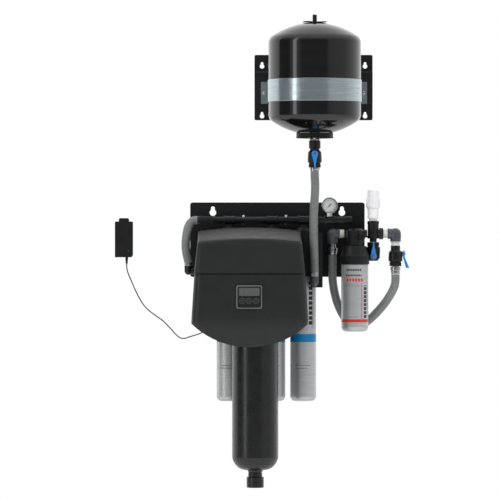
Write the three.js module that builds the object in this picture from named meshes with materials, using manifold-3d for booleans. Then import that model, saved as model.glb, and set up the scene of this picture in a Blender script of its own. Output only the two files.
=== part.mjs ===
// A wall-hung reverse osmosis unit for a commercial water supply: three prefilter cartridges on a
// manifold, a membrane housing under a plastic cowl, a blend cartridge with its valves and hose
// loop, a pressure tank above, and a plug-in power adapter.
//
// Millimetres, +Z up. The wall is the plane y = 0 and everything stands in front of it at y < 0;
// "depth" is the distance in front of the wall. The origin lies on the wall, midway between the
// backplate's two keyhole slots.
import * as THREE from "three";
import { mergeVertices } from "three/addons/utils/BufferGeometryUtils.js";
import Module from "manifold-3d";

const wasm = await Module();
wasm.setup();

// ---------- Driving dimensions ----------

const GAP = 0.3; // between pieces that touch
const RUNNING_GAP = 0.6; // between pieces that turn or slide past each other
const OVERCUT = 1; // how far a cutting shape runs past what it cuts, and a stub into its piece
const SIDES = { large: 28, medium: 18, small: 12, tiny: 8 }; // of turned shapes, by their size
const ARC = { large: 20, medium: 12, small: 6 }; // steps in a drawn arc, by its size

const plate = {
  width: 532, top: 26, height: 227, thickness: 2.5, corner: 8,
  keyholeSpacing: 393.4, headRadius: 10, slotRadius: 6, headZ: -5, slotZ: 8,
};

const pipe = {
  depth: 58, z: -28.5, radius: 10.5, bore: 7.5, left: -187.7, right: 226,
  teeRadius: 13.5, teeWidth: 34, capWidth: 20,
};
const pipeClips = { at: [-103.3, 25.7], radius: 6, top: -12, bottom: -46 };
const coupling = { left: -243, radius: 12, ribRadius: 13.2, ribWidth: 7, ribInset: 6 };

const prefilter = {
  at: { left: -145.5, middle: -15.9, right: 77.6 }, depth: pipe.depth,
  canRadius: 39.6, capRadius: 42, capTop: -100, capShoulder: -122, capBottom: -155, bottom: -577,
};
const blendFilter = {
  x: 233.5, depth: 95,
  canRadius: 41, capRadius: 44, capTop: -107, capShoulder: -134, capBottom: -163.5, bottom: -365.5,
};
const cartridge = {
  wall: 2.5, edge: 12, capTaper: 9, neckRadius: 13.5, neckLength: 36, neckBore: 6,
};
const rotor = { radius: 19, length: 44, top: 5, hole: 4, lift: 2 }; // lift: its mouth, above a cap
const head = { radius: 26, roof: 6, footWidth: 28, footHeight: 34, neckRadius: 10 };
const blendHeadForm = { portHeight: 24, bridgeWidth: 44, bossRadius: 8.5 };

const gauge = {
  x: 158, z: 16.1, radius: 24.5, back: 45, front: 72, dialRadius: 21.5, dialDepth: 62,
  lensThickness: 1.6, lensInset: 1, rimHeight: 5, stemAcross: 15.5,
  needleLength: 16, needleTail: 8, needleWidth: 2.2, needlePoint: 0.8, needleThickness: 0.8,
  needleLift: 2, hubRadius: 2.6, hubThickness: 1.4,
};

const ports = { depth: 60, z: -69.5, nippleRadius: 12.2 };
const leftElbow = { x: 166.5, armRadius: 14.5, dropRadius: 16, armEnd: 188, bottom: -100 };
const rightElbow = { x: 357.7, armRadius: 15.4, dropRadius: 17, armEnd: 334.5, bottom: -93.5 };
const tee = {
  x: 290.3, radius: 17.9, top: -31, bottom: -84.5, neckRadius: 10.8, neckBottom: -94.8,
  nutRadius: 17.4, nutWidth: 12, armRadius: 12,
};
const checkValve = {
  top: 62, topRadius: 18, bulgeTop: 37.5, bulgeBottom: 11, bulgeRadius: 21.4,
  lowerRadius: 17, lowerBottom: -23.6, socketRadius: 13, socketDepth: 20, bore: 8,
};
const knob = { x: 254.7, z: -80, radius: 10, thickness: 10, lobes: 12, lobeDepth: 0.8 };
const elbowRim = { width: 5, height: 1.2 };

const valve = {
  neckRadius: 14.3, neckHeight: 1.5, bulgeRadius: 21.2, bulgeStart: 6, bulgeEnd: 15, shoulder: 12,
  endNutRadius: 18.2, endNutHeight: 12, farNutRadius: 17.5, farNutHeight: 24, bossRadius: 8,
  bossReach: 22.5,
};
const lever = {
  hubRadius: 10.4, reach: 42.5, tipWidth: 5, hubThickness: 6, tipThickness: 11, flare: 9,
};
const tankValveReach = { near: 40.4, far: 40.6, leverZ: 169.9 };
const outletValveReach = { near: 36.9, far: 25, leverZ: -131.1 };
const blendValveReach = { near: 42.9, far: 13.9, leverZ: -138 };

const tank = {
  x: 111.3, radius: 139.7, wall: 2, clearance: 1.8, bottom: 227.4, top: 566.2, crownRadius: 226,
  knuckleRadius: 27, portRadius: 17.5, portBottom: 214, portBore: 11, airHole: 4.4,
};
const diaphragm = { rimZ: 400, thickness: 3, clearance: 1.5, sag: 110 };
const footRing = { radius: 56.5, wall: 3, bottom: 217.8, clearance: 0.547 };
const airValve = {
  radius: 4, flange: 8, flangeHeight: 1, capRadius: 6.5, capRoof: 6.5, top: 582, capTop: 590,
};
const tankBracket = {
  centreX: 110.1, sideMargin: 40.3, bottom: 276.6, top: 475.8, thickness: 2.5, raise: 6,
  creaseLow: 325.6, creaseHigh: 426, corner: 5,
  keyholeInset: 23, headRadius: 7, slotRadius: 4, slotRise: 9, lowHeadZ: 289, highHeadZ: 441,
};
const tankDepth = tankBracket.raise + tankBracket.thickness + tank.clearance + tank.radius;
const strap = { z: 360, width: 67, thickness: 1.5, flange: 20, clearance: 0.5 };

const roBracket = {
  depth: 105, thickness: 3, left: -240, right: 136, top: -66, bottom: -330,
  earLeft: 99.3, earBottom: -232.3, shoulder: -198,
  cornerRight: 69.3, channelX: -80.5, channelWidth: 35, channelBottom: -200, sideBottom: -190,
  feedFlangeBottom: -215, feedFlangeDepth: 70, clearance: 1.5,
  jackEarLeft: -216, jackEarRight: -172, jackEarBottom: -374,
};
const membraneHead = {
  x: -68, depth: 190, radius: 66, bottom: -214, shoulder: -150, top: -120, topRadius: 48,
  roof: 12, roofRadius: 44, footWidth: 80, footBottom: -200, footTop: -140,
};
const housing = {
  radius: 69.5, wall: 5.5, bottom: -779, corner: 38, neckRadius: 20, neckLength: 8, bore: 12,
  collarRadius: 73, collarHeight: 22, collarTaper: 4, threadRadius: 60, threadHeight: 14,
};
const element = {
  radius: 57, top: -262, clearance: 37, tubeRadius: 10, tubeTop: -240, tubeLength: 16,
};
const housingCap = { collarRadius: 21.3, collarHeight: 11.5, nutRadius: 26, nutHeight: 33.5, bore: 8 };
const neckBottom = housing.bottom - housing.neckLength;
const pump = {
  x: -194, depth: 178, radius: 37, top: -200, motorTop: -236, bottom: -328, edge: 3,
  waist: 6, waistHeight: 6, domeRise: 6, domeRadius: 27, footWidth: 44, footBottom: -308, footTop: -256,
};
const board = {
  left: -134, right: -38, bottom: -300, top: -216, thickness: 1.6, postRadius: 4, inset: 7, gap: 7,
};

const cowl = {
  x: -84.2, wall: 3, rear: 109, cornerRadius: 26, crownRise: 10, topFrontZ: -81, topFrontDepth: 250,
  topSlope: 0.221, topHalfWidth: 156, topHalfZ: -91, seamZ: -188, seamHalfWidth: 166,
  sideHalfWidth: 175, bottomRadius: 250, bottomZ: -409.5, seamStep: 4, cornerSteps: 5,
  topDepth: 262, seamDepth: 285, panelDepth: 280, chinZ: -335, chinDepth: 266, slotClearance: 4,
  slotHeight: 60, reserve: 10, rise: 81,
};
const bezel = {
  x: -85.9, top: -223.8, width: 77.5, height: 70.6, thickness: 8, corner: 7,
  windowWidth: 62.2, windowHeight: 25, windowTop: -231, windowInset: 2.5, windowThickness: 3,
  buttonZ: -270.6, buttonPitch: 20.5, buttonRadius: 8.2, buttonProud: 1.5, buttonLength: 7.5,
  buttonEdge: 1,
};

const hose = { radius: 13, sides: 8 };
const barb = { nippleRadius: 11, collarRadius: 15.8, ringRadius: 14.2, ringHeight: 6, tankNipple: 2 };
const tankHoseEnd = {
  x: 111, depth: 128, top: -200, elbowZ: -216, radius: 12.8, armRadius: 10, armEnd: 94,
};
const tankHoseTop = 117.5;
const feedElbow = {
  x: -269.5, depth: 90, top: -166.3, elbowZ: -182, radius: 12.5, armRadius: 11, armEnd: -214,
  nutRadius: 14, nutHeight: 9,
};
const loopBarbLeft = { collarTop: -112, collarBottom: -124.5, end: -132.6 };
const loopBarbRight = { collarTop: -169.8, collarBottom: -180.5, end: -194 };

const adapter = {
  left: -494, right: -439.5, top: -32.3, bottom: -141.2, humpLeft: -482, humpRight: -451.6,
  humpTop: -22.2, back: 17.5, thickness: 32, corner: 8, edge: 4, bladeSpacing: 12.7, bladeWidth: 6.4,
  bladeThickness: 1.5, bladeZ: -60, bladeEnd: 1,
};
const cord = { radius: 1.75, sides: 8, x: -458.6, depth: 33, top: -162 };
const relief = { topRadius: 4.2, endRadius: 2.6 };
const jack = { x: -206, depth: 94, z: -363, radius: 5.5, length: 24, footStart: 6, footWidth: 14 };

// ---------- Materials ----------

function material(color, roughness, metalness = 0) {
  return new THREE.MeshStandardMaterial({ color, roughness, metalness });
}

const blackSteel = material(0x17191a, 0.45, 0.3);
const glossBlack = material(0x0d0e0f, 0.12, 0.2);
const blackPlastic = material(0x18191b, 0.55);
const cowlPlastic = material(0x2b2c2c, 0.6);
const greyPlastic = material(0x4b5156, 0.4);
const silverCan = material(0xc3c6c9, 0.35, 0.6);
const zinc = material(0xb9c6cc, 0.3, 0.9);
const steel = material(0xc9ccce, 0.25, 1);
const clearWhite = material(0xe9eaec, 0.35);
const blue = material(0x1678c8, 0.4);
const hoseGrey = material(0x7d8283, 0.55);
const rubber = material(0x1c1c1c, 0.8);
const needleDark = material(0x33262a, 0.5);
const lensClear = material(0xf2f5f7, 0.05);
const elementWhite = material(0xd8dcdc, 0.6);
const lcdGrey = material(0xb9bfbc, 0.2);
const cordGrey = material(0x2f2b29, 0.6);
const boardGreen = material(0x1f5a3a, 0.5);

// ---------- Shape helpers ----------

const X = new THREE.Vector3(1, 0, 0);
const Y = new THREE.Vector3(0, 1, 0);
const Z = new THREE.Vector3(0, 0, 1);
const FRONT = Y.clone().negate();
const LEFT = X.clone().negate();
const DOWN = Z.clone().negate();

const at = (x, depth, z) => new THREE.Vector3(x, -depth, z);

function solidOf(geometry) {
  const bare = geometry.index ? geometry.toNonIndexed() : geometry.clone();
  for (const name of Object.keys(bare.attributes)) {
    if (name !== "position") bare.deleteAttribute(name);
  }
  const merged = mergeVertices(bare, 1e-4);
  return new wasm.Manifold(
    new wasm.Mesh({
      numProp: 3,
      vertProperties: merged.attributes.position.array,
      triVerts: new Uint32Array(merged.index.array),
    }),
  );
}

function geometryOf(solid) {
  const mesh = solid.getMesh();
  const geometry = new THREE.BufferGeometry();
  geometry.setAttribute("position", new THREE.BufferAttribute(mesh.vertProperties, 3));
  geometry.setIndex(new THREE.BufferAttribute(mesh.triVerts, 1));
  return geometry.toNonIndexed();
}

function join(...pieces) {
  return geometryOf(pieces.map(solidOf).reduce((a, b) => a.add(b)));
}

function cut(piece, ...tools) {
  return geometryOf(tools.map(solidOf).reduce((a, b) => a.subtract(b), solidOf(piece)));
}

function common(...pieces) {
  return geometryOf(pieces.map(solidOf).reduce((a, b) => a.intersect(b)));
}

// Puts a shape made about +Z at a place, with its +Z along the given direction.
function placed(geometry, position, direction = Z) {
  const turn = new THREE.Quaternion().setFromUnitVectors(Z, direction);
  return geometry.applyMatrix4(new THREE.Matrix4().compose(position, turn, new THREE.Vector3(1, 1, 1)));
}

// A turned shape about +Z. The profile holds [radius, height] pairs that run up the outside from
// the axis back to the axis, or close on themselves round a bore.
function turned(profile, sides = SIDES.small) {
  const points = profile.map(([radius, height]) => new THREE.Vector2(radius, height));
  return new THREE.LatheGeometry(points, sides).rotateX(Math.PI / 2);
}

function rod(radius, from, to, sides = SIDES.small) {
  return turned([[0, from], [radius, from], [radius, to], [0, to]], sides);
}

function tube(radius, bore, from, to, sides = SIDES.small) {
  return turned([[bore, from], [radius, from], [radius, to], [bore, to], [bore, from]], sides);
}

// The radius of a faceted socket whose flats still clear what turns or slides in it.
function socketRadius(radius, sides = SIDES.small) {
  return (radius + RUNNING_GAP) / Math.cos(Math.PI / sides);
}

function box(left, right, near, far, bottom, top) {
  return new THREE.BoxGeometry(right - left, far - near, top - bottom).translate(
    (left + right) / 2, -(near + far) / 2, (bottom + top) / 2,
  );
}

// The three ways to pull a flat outline into a slab: drawn in (x, z) and pulled forward from a
// depth, drawn in (x, y) and pulled up from a height, or drawn in (y, z) and pulled right from an x.
function pulled(shape, thickness, curveSegments) {
  return new THREE.ExtrudeGeometry(shape, { depth: thickness, bevelEnabled: false, curveSegments });
}

function frontSlab(shape, depth, thickness, curveSegments = ARC.small) {
  const slab = pulled(shape, thickness, curveSegments);
  return slab.applyMatrix4(new THREE.Matrix4().makeBasis(X, Z, FRONT)).translate(0, -depth, 0);
}

function planSlab(shape, z, thickness, curveSegments = ARC.small) {
  return pulled(shape, thickness, curveSegments).translate(0, 0, z);
}

function sideSlab(shape, x, thickness) {
  const slab = pulled(shape, thickness, ARC.small);
  return slab.applyMatrix4(new THREE.Matrix4().makeBasis(Y, Z, X)).translate(x, 0, 0);
}

function outline(points) {
  return new THREE.Shape(points.map(([a, b]) => new THREE.Vector2(a, b)));
}

function roundedRectangle(left, right, bottom, top, radius) {
  const shape = new THREE.Shape();
  shape.absarc(right - radius, bottom + radius, radius, -Math.PI / 2, 0);
  shape.absarc(right - radius, top - radius, radius, 0, Math.PI / 2);
  shape.absarc(left + radius, top - radius, radius, Math.PI / 2, Math.PI);
  shape.absarc(left + radius, bottom + radius, radius, Math.PI, 1.5 * Math.PI);
  return shape;
}

// A screw-head circle with a narrower slot rising out of it.
function keyhole(x, headZ, headRadius, slotZ, slotRadius) {
  const halfMouth = Math.asin(slotRadius / headRadius);
  const hole = new THREE.Path();
  hole.absarc(x, headZ, headRadius, Math.PI / 2 + halfMouth, 2.5 * Math.PI - halfMouth);
  hole.absarc(x, slotZ, slotRadius, 0, Math.PI);
  return hole;
}

// A smooth round tube along a route.
function along(route, radius, sides, steps) {
  const section = new THREE.Shape();
  section.absarc(0, 0, radius, 0, 2 * Math.PI);
  return new THREE.ExtrudeGeometry(section, {
    extrudePath: new THREE.CatmullRomCurve3(route, false, "centripetal"),
    steps,
    curveSegments: sides / 2,
  });
}

const unit = new THREE.Group();
unit.name = "reverse_osmosis_unit";

function add(name, geometry, finish) {
  geometry.computeVertexNormals();
  const mesh = new THREE.Mesh(geometry, finish);
  mesh.name = name;
  unit.add(mesh);
}

// ---------- Backplate and manifold ----------

function backplate() {
  const half = plate.width / 2;
  const shape = roundedRectangle(-half, half, plate.top - plate.height, plate.top, plate.corner);
  for (const x of [-plate.keyholeSpacing / 2, plate.keyholeSpacing / 2]) {
    shape.holes.push(keyhole(x, plate.headZ, plate.headRadius, plate.slotZ, plate.slotRadius));
  }
  return frontSlab(shape, 0, plate.thickness);
}

const headXs = Object.values(prefilter.at);

// The pipe with a thicker tee over each prefilter head and under the gauge, and a bore closed at
// its right end by the cap.
function manifold() {
  const p = pipe;
  const half = p.teeWidth / 2;
  const profile = [[0, p.left], [p.radius, p.left]];
  for (const x of [...headXs, gauge.x]) {
    profile.push([p.radius, x - half], [p.teeRadius, x - half]);
    profile.push([p.teeRadius, x + half], [p.radius, x + half]);
  }
  profile.push([p.radius, p.right - p.capWidth], [p.teeRadius, p.right - p.capWidth]);
  profile.push([p.teeRadius, p.right], [0, p.right]);
  const body = placed(turned(profile), at(0, p.depth, p.z), X);
  const clips = pipeClips.at.map((x) =>
    placed(rod(pipeClips.radius, pipeClips.bottom, pipeClips.top, SIDES.tiny), at(x, p.depth, 0)),
  );
  const seat = box(
    gauge.x - gauge.stemAcross, gauge.x + gauge.stemAcross, p.depth - p.teeRadius,
    p.depth + p.teeRadius, p.z + p.radius, p.z + p.teeRadius + OVERCUT,
  );
  const bore = placed(
    rod(p.bore, p.left - OVERCUT, p.right - p.capWidth / 2), at(0, p.depth, p.z), X,
  );
  return cut(join(body, ...clips), seat, bore);
}

function manifoldCoupling() {
  const c = coupling;
  const end = pipe.left - GAP;
  const rib = c.left + c.ribInset;
  const profile = [
    [pipe.bore, c.left], [c.radius, c.left], [c.radius, rib], [c.ribRadius, rib],
    [c.ribRadius, rib + c.ribWidth], [c.radius, rib + c.ribWidth], [c.radius, end - c.ribWidth],
    [c.ribRadius, end - c.ribWidth], [c.ribRadius, end], [pipe.bore, end], [pipe.bore, c.left],
  ];
  return placed(turned(profile), at(0, pipe.depth, pipe.z), X);
}

// ---------- Filter heads and cartridges ----------

// A sealed cartridge: a thin can under a ribbed cap, with a bored neck that plugs into its head.
function cartridgeBody(f) {
  const c = cartridge;
  const inner = f.canRadius - c.wall;
  const soft = c.edge * (1 - Math.SQRT1_2);
  const neckTop = f.capTop + c.neckLength;
  const profile = [
    [0, f.bottom], [f.canRadius - c.edge, f.bottom],
    [f.canRadius - soft, f.bottom + soft], [f.canRadius, f.bottom + c.edge],
    [f.canRadius, f.capBottom], [f.capRadius, f.capBottom], [f.capRadius, f.capShoulder],
    [f.capRadius - c.capTaper, f.capTop], [c.neckRadius, f.capTop], [c.neckRadius, neckTop],
    [c.neckBore, neckTop], [c.neckBore, f.capShoulder], [inner, f.capShoulder - c.wall],
    [inner, f.bottom + c.edge], [inner - c.edge / 2, f.bottom + c.wall], [0, f.bottom + c.wall],
  ];
  return placed(turned(profile, SIDES.medium), at(f.x, f.depth, 0));
}

// The valve rotor that a cartridge's neck keys into: a cup, open downwards, with a small hole on top.
function rotorBody(f) {
  const bottom = f.capTop + rotor.lift;
  const top = bottom + rotor.length;
  const bore = socketRadius(cartridge.neckRadius);
  const profile = [
    [bore, bottom], [rotor.radius, bottom], [rotor.radius, top], [rotor.hole, top],
    [rotor.hole, top - rotor.top], [bore, top - rotor.top], [bore, bottom],
  ];
  return placed(turned(profile), at(f.x, f.depth, 0));
}

// The levels of a head: its rim, the top of the socket that its rotor turns in, and its roof.
function headLevels(f) {
  const bottom = f.capTop + RUNNING_GAP;
  const socketTop = f.capTop + rotor.lift + rotor.length + RUNNING_GAP;
  return { bottom, socketTop, roof: socketTop + head.roof };
}

// The round body of a head, still solid; headSocket cuts it once its foot and ports are joined on.
function headShell(f, levels) {
  const profile = [
    [0, levels.bottom], [head.radius, levels.bottom], [head.radius, levels.socketTop],
    [head.radius - head.roof, levels.roof], [0, levels.roof],
  ];
  return placed(turned(profile), at(f.x, f.depth, 0));
}

function headSocket(f, levels) {
  const socket = rod(socketRadius(rotor.radius), levels.bottom - OVERCUT, levels.socketTop);
  return placed(socket, at(f.x, f.depth, 0));
}

// The foot that holds a head off the backplate.
function headFoot(f, bottom, top) {
  const half = head.footWidth / 2;
  return box(f.x - half, f.x + half, plate.thickness + GAP, f.depth, bottom, top);
}

function prefilterHead(f) {
  const levels = headLevels(f);
  const neckTop = pipe.z - pipe.teeRadius - GAP;
  const neck = placed(
    rod(head.neckRadius, levels.roof - OVERCUT, neckTop), at(f.x, f.depth, 0),
  );
  const foot = headFoot(f, levels.bottom, levels.bottom + head.footHeight);
  return cut(join(headShell(f, levels), neck, foot), headSocket(f, levels));
}

// The blend head has its ports behind the cartridge, a boss for the blend knob and a wall foot.
function blendHead(f) {
  const levels = headLevels(f);
  const b = blendHeadForm;
  const bottom = ports.z - b.portHeight / 2;
  const portPipe = placed(
    rod(ports.nippleRadius, leftElbow.armEnd + GAP, tee.x - tee.radius - GAP),
    at(0, ports.depth, ports.z), X,
  );
  const bridge = box(
    f.x - b.bridgeWidth / 2, f.x + b.bridgeWidth / 2, ports.depth, f.depth, bottom,
    levels.socketTop + head.roof / 2,
  );
  const boss = placed(
    rod(b.bossRadius, ports.depth, f.depth + head.radius), at(knob.x, 0, knob.z), FRONT,
  );
  const foot = headFoot(f, bottom, bottom + b.portHeight);
  const whole = join(headShell(f, levels), portPipe, bridge, foot, boss);
  return cut(whole, headSocket(f, levels));
}

function blendKnob(f) {
  const back = f.depth + head.radius + GAP;
  const grip = new THREE.Shape();
  for (let i = 0; i <= 2 * knob.lobes; i++) {
    const radius = i % 2 ? knob.radius - knob.lobeDepth : knob.radius;
    const angle = (i * Math.PI) / knob.lobes;
    const point = [knob.x + radius * Math.cos(angle), knob.z + radius * Math.sin(angle)];
    if (i === 0) grip.moveTo(...point);
    else grip.lineTo(...point);
  }
  return frontSlab(grip, back, knob.thickness);
}

// ---------- Pressure gauge ----------

function gaugeCase() {
  const g = gauge;
  const body = g.radius - 1;
  const profile = [
    [0, g.back], [body - 1, g.back], [body, g.back + 3], [body, g.front - g.rimHeight - 1],
    [g.radius, g.front - g.rimHeight], [g.radius, g.front], [g.dialRadius, g.front],
    [g.dialRadius, g.dialDepth], [0, g.dialDepth],
  ];
  const cup = placed(turned(profile, SIDES.medium), at(g.x, 0, g.z), FRONT);
  const stem = placed(
    rod(g.stemAcross / 2, pipe.z + pipe.radius + GAP, g.z - g.dialRadius, 6), at(g.x, pipe.depth, 0),
  );
  return join(cup, stem);
}

// The pointer rests at the dial's zero, down and to the left.
function gaugeNeedle() {
  const g = gauge;
  const half = g.needleWidth / 2;
  const tip = g.needlePoint / 2;
  const arrow = outline([
    [-g.needleTail, -half], [0, -half], [g.needleLength, -tip], [g.needleLength, tip], [0, half],
    [-g.needleTail, half],
  ]);
  const blade = pulled(arrow, g.needleThickness, ARC.small).rotateZ((-3 * Math.PI) / 4);
  const hub = rod(g.hubRadius, 0, g.hubThickness);
  return placed(join(blade, hub), at(g.x, g.dialDepth + g.needleLift, g.z), FRONT);
}

function gaugeLens() {
  const front = gauge.front - gauge.lensInset;
  const disc = rod(gauge.dialRadius - GAP, front - gauge.lensThickness, front, SIDES.medium);
  return placed(disc, at(gauge.x, 0, gauge.z), FRONT);
}

// ---------- Fittings of the blend group ----------

// A round corner between the two arms of an elbow.
function cornerBall(radius, position) {
  return new THREE.SphereGeometry(radius, SIDES.small, SIDES.tiny).translate(...position);
}

// A moulded elbow: a level arm with a rim, a downward arm and a round corner.
function elbow(e, direction) {
  const place = at(e.x, ports.depth, ports.z);
  const arm = Math.abs(e.armEnd - e.x);
  const level = placed(rod(e.armRadius, 0, arm), place, direction);
  const drop = placed(rod(e.dropRadius, 0, ports.z - e.bottom), place, DOWN);
  const rim = placed(rod(e.armRadius + elbowRim.height, arm - elbowRim.width, arm), place, direction);
  return join(level, drop, cornerBall(e.dropRadius, place), rim);
}

function inletTee() {
  const t = tee;
  const place = at(t.x, ports.depth, 0);
  const post = placed(rod(t.radius, t.bottom, t.top, SIDES.medium), place);
  const neck = placed(rod(t.neckRadius, t.neckBottom, t.bottom + OVERCUT), place);
  const nutLeft = t.x + t.radius - 2 * OVERCUT;
  const nutRight = t.x + t.radius + t.nutWidth;
  const run = at(0, ports.depth, ports.z);
  const nut = placed(rod(t.nutRadius, nutLeft, nutRight), run, X);
  const arm = placed(rod(t.armRadius, t.x, nutRight), run, X);
  const nipple = placed(
    rod(ports.nippleRadius, nutRight - OVERCUT, rightElbow.armEnd - GAP), run, X,
  );
  return join(post, neck, arm, nut, nipple);
}

// The clear check valve that stands on the tee, with the unit's threaded inlet on top.
function inletCheckValve() {
  const c = checkValve;
  const bottom = tee.top + GAP;
  const profile = [
    [c.bore, bottom], [ports.nippleRadius, bottom], [ports.nippleRadius, c.lowerBottom],
    [c.lowerRadius, c.lowerBottom], [c.lowerRadius, c.bulgeBottom - 5],
    [c.bulgeRadius, c.bulgeBottom], [c.bulgeRadius, c.bulgeTop], [c.topRadius, c.bulgeTop + 4],
    [c.topRadius, c.top], [c.socketRadius, c.top], [c.socketRadius, c.top - c.socketDepth],
    [c.bore, c.top - c.socketDepth], [c.bore, bottom],
  ];
  return placed(turned(profile, SIDES.medium), at(tee.x, ports.depth, 0));
}

// ---------- Ball valves ----------

// A compact ball valve about its own +Z, with z = 0 at the lever's axis. The near end, towards -Z,
// has the union nut beside the bulged body; the far end may have a second nut.
function valveBody(reach, farNut, bossDirection, axisDirection, x, depth) {
  const v = valve;
  const nut = -reach.near + v.endNutHeight;
  const profile = [
    [0, -reach.near], [v.endNutRadius, -reach.near], [v.endNutRadius, nut],
    [v.neckRadius + 2, nut], [v.neckRadius + 2, nut + v.neckHeight],
    [v.bulgeRadius - 1, nut + v.neckHeight + 1], [v.bulgeRadius, nut + v.bulgeStart],
    [v.bulgeRadius, nut + v.bulgeEnd], [v.neckRadius, v.shoulder],
  ];
  if (farNut) {
    const farStart = reach.far - v.farNutHeight;
    profile.push([v.neckRadius, farStart], [v.farNutRadius, farStart], [v.farNutRadius, reach.far]);
  } else {
    profile.push([v.neckRadius, reach.far]);
  }
  profile.push([0, reach.far]);
  const place = at(x, depth, reach.leverZ);
  const body = placed(turned(profile, SIDES.medium), place, axisDirection);
  const boss = placed(rod(v.bossRadius, 0, v.bossReach), place, bossDirection);
  return join(body, boss);
}

// A teardrop lever whose blade flares away from the valve. Its hub turns about "outward".
function leverBody(outward, blade, position) {
  const l = lever;
  const face = new THREE.Shape();
  face.absarc(0, 0, l.hubRadius, 0, Math.PI);
  face.lineTo(-l.tipWidth / 2, -l.reach);
  face.lineTo(l.tipWidth / 2, -l.reach);
  const front = pulled(face, l.flare + l.tipThickness, ARC.small);
  const half = l.hubRadius + OVERCUT;
  const edge = outline([
    [half, 0], [half, l.hubThickness], [-l.hubRadius, l.hubThickness],
    [-l.reach - OVERCUT, l.flare + l.tipThickness], [-l.reach - OVERCUT, l.flare], [-l.hubRadius, 0],
  ]);
  const side = sideSlab(edge, -half, 2 * half);
  const up = blade.clone().negate();
  const across = new THREE.Vector3().crossVectors(up, outward);
  const turn = new THREE.Matrix4().makeBasis(across, up, outward).setPosition(position);
  return common(front, side).applyMatrix4(turn);
}

function addValve(name, reach, options) {
  const { x, depth, farNut, outward, axis, blade } = options;
  add(`${name}_valve`, valveBody(reach, farNut, outward, axis, x, depth), blackPlastic);
  const hub = at(x, depth, reach.leverZ).addScaledVector(outward, valve.bossReach + GAP);
  add(`${name}_lever`, leverBody(outward, blade, hub), blue);
}

// ---------- Pressure tank ----------

// Half the outline of a dished end, from the axis outwards: a shallow crown, then a tight knuckle.
// "up" is 1 for the top end and -1 for the bottom one; "inset" moves it in by a wall.
function dishedEnd(apex, up, inset, start) {
  const t = tank;
  const crown = t.crownRadius - inset;
  const knuckle = t.knuckleRadius - inset;
  const centreRadius = t.radius - t.knuckleRadius;
  const swing = Math.asin(centreRadius / (t.crownRadius - t.knuckleRadius));
  const crownZ = apex - up * t.crownRadius;
  const knuckleZ = crownZ + up * (t.crownRadius - t.knuckleRadius) * Math.cos(swing);
  const points = [];
  const steps = 3;
  const first = Math.asin(start / crown);
  for (let i = 0; i <= steps; i++) {
    const a = first + ((swing - first) * i) / steps;
    points.push([crown * Math.sin(a), crownZ + up * crown * Math.cos(a)]);
  }
  for (let i = 1; i <= steps; i++) {
    const a = swing + ((Math.PI / 2 - swing) * i) / steps;
    points.push([centreRadius + knuckle * Math.sin(a), knuckleZ + up * knuckle * Math.cos(a)]);
  }
  return points;
}

function tankShell() {
  const t = tank;
  const outerBottom = dishedEnd(t.bottom, -1, 0, t.portRadius);
  const outerTop = dishedEnd(t.top, 1, 0, t.airHole).reverse();
  const innerTop = dishedEnd(t.top, 1, t.wall, t.airHole);
  const innerBottom = dishedEnd(t.bottom, -1, t.wall, t.portBore).reverse();
  const profile = [
    [t.portBore, t.portBottom], [t.portRadius, t.portBottom], ...outerBottom, ...outerTop,
    ...innerTop, ...innerBottom, [t.portBore, t.portBottom],
  ];
  return placed(turned(profile, SIDES.large), at(t.x, tankDepth, 0));
}

// The rubber diaphragm that parts the air above from the water below, slack in a bowl.
function tankDiaphragm() {
  const d = diaphragm;
  const radius = tank.radius - tank.wall - d.clearance;
  const steps = 4;
  const bowl = (inset) =>
    Array.from({ length: steps + 1 }, (_, i) => {
      const a = (i * Math.PI) / 2 / steps;
      return [(radius - inset) * Math.sin(a), d.rimZ - (d.sag - inset) * Math.cos(a)];
    });
  const profile = [...bowl(0), ...bowl(d.thickness).reverse()];
  return placed(turned(profile, SIDES.medium), at(tank.x, tankDepth, 0));
}

// The height of a turned profile at a radius, on the straight run between its two nearest points.
function heightAt(profile, radius) {
  const i = profile.findIndex((point) => point[0] >= radius);
  const [innerRadius, innerZ] = profile[i - 1];
  const [outerRadius, outerZ] = profile[i];
  return innerZ + ((outerZ - innerZ) * (radius - innerRadius)) / (outerRadius - innerRadius);
}

// The ring stops under the dished bottom, at the height where the shell passes its inner edge.
function tankFootRing() {
  const inner = footRing.radius - footRing.wall;
  const dish = dishedEnd(tank.bottom, -1, 0, tank.portRadius);
  const top = heightAt(dish, inner) - footRing.clearance;
  return placed(
    tube(footRing.radius, inner, footRing.bottom, top, SIDES.medium), at(tank.x, tankDepth, 0),
  );
}

function airValveBody() {
  const v = airValve;
  const bottom = tank.top + GAP;
  const profile = [
    [0, bottom], [v.flange, bottom], [v.flange, bottom + v.flangeHeight],
    [v.radius, bottom + v.flangeHeight], [v.radius, v.top], [0, v.top],
  ];
  return placed(turned(profile), at(tank.x, tankDepth, 0));
}

function airValveCap() {
  const v = airValve;
  const bottom = tank.top + GAP + v.flangeHeight + RUNNING_GAP;
  const bore = socketRadius(v.radius);
  const roof = v.capTop - v.capRoof;
  const profile = [
    [bore, bottom], [v.capRadius, bottom], [v.capRadius, v.capTop - 1], [v.capRadius - 1, v.capTop],
    [0, v.capTop], [0, roof], [bore, roof], [bore, bottom],
  ];
  return placed(turned(profile), at(tank.x, tankDepth, 0));
}

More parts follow.
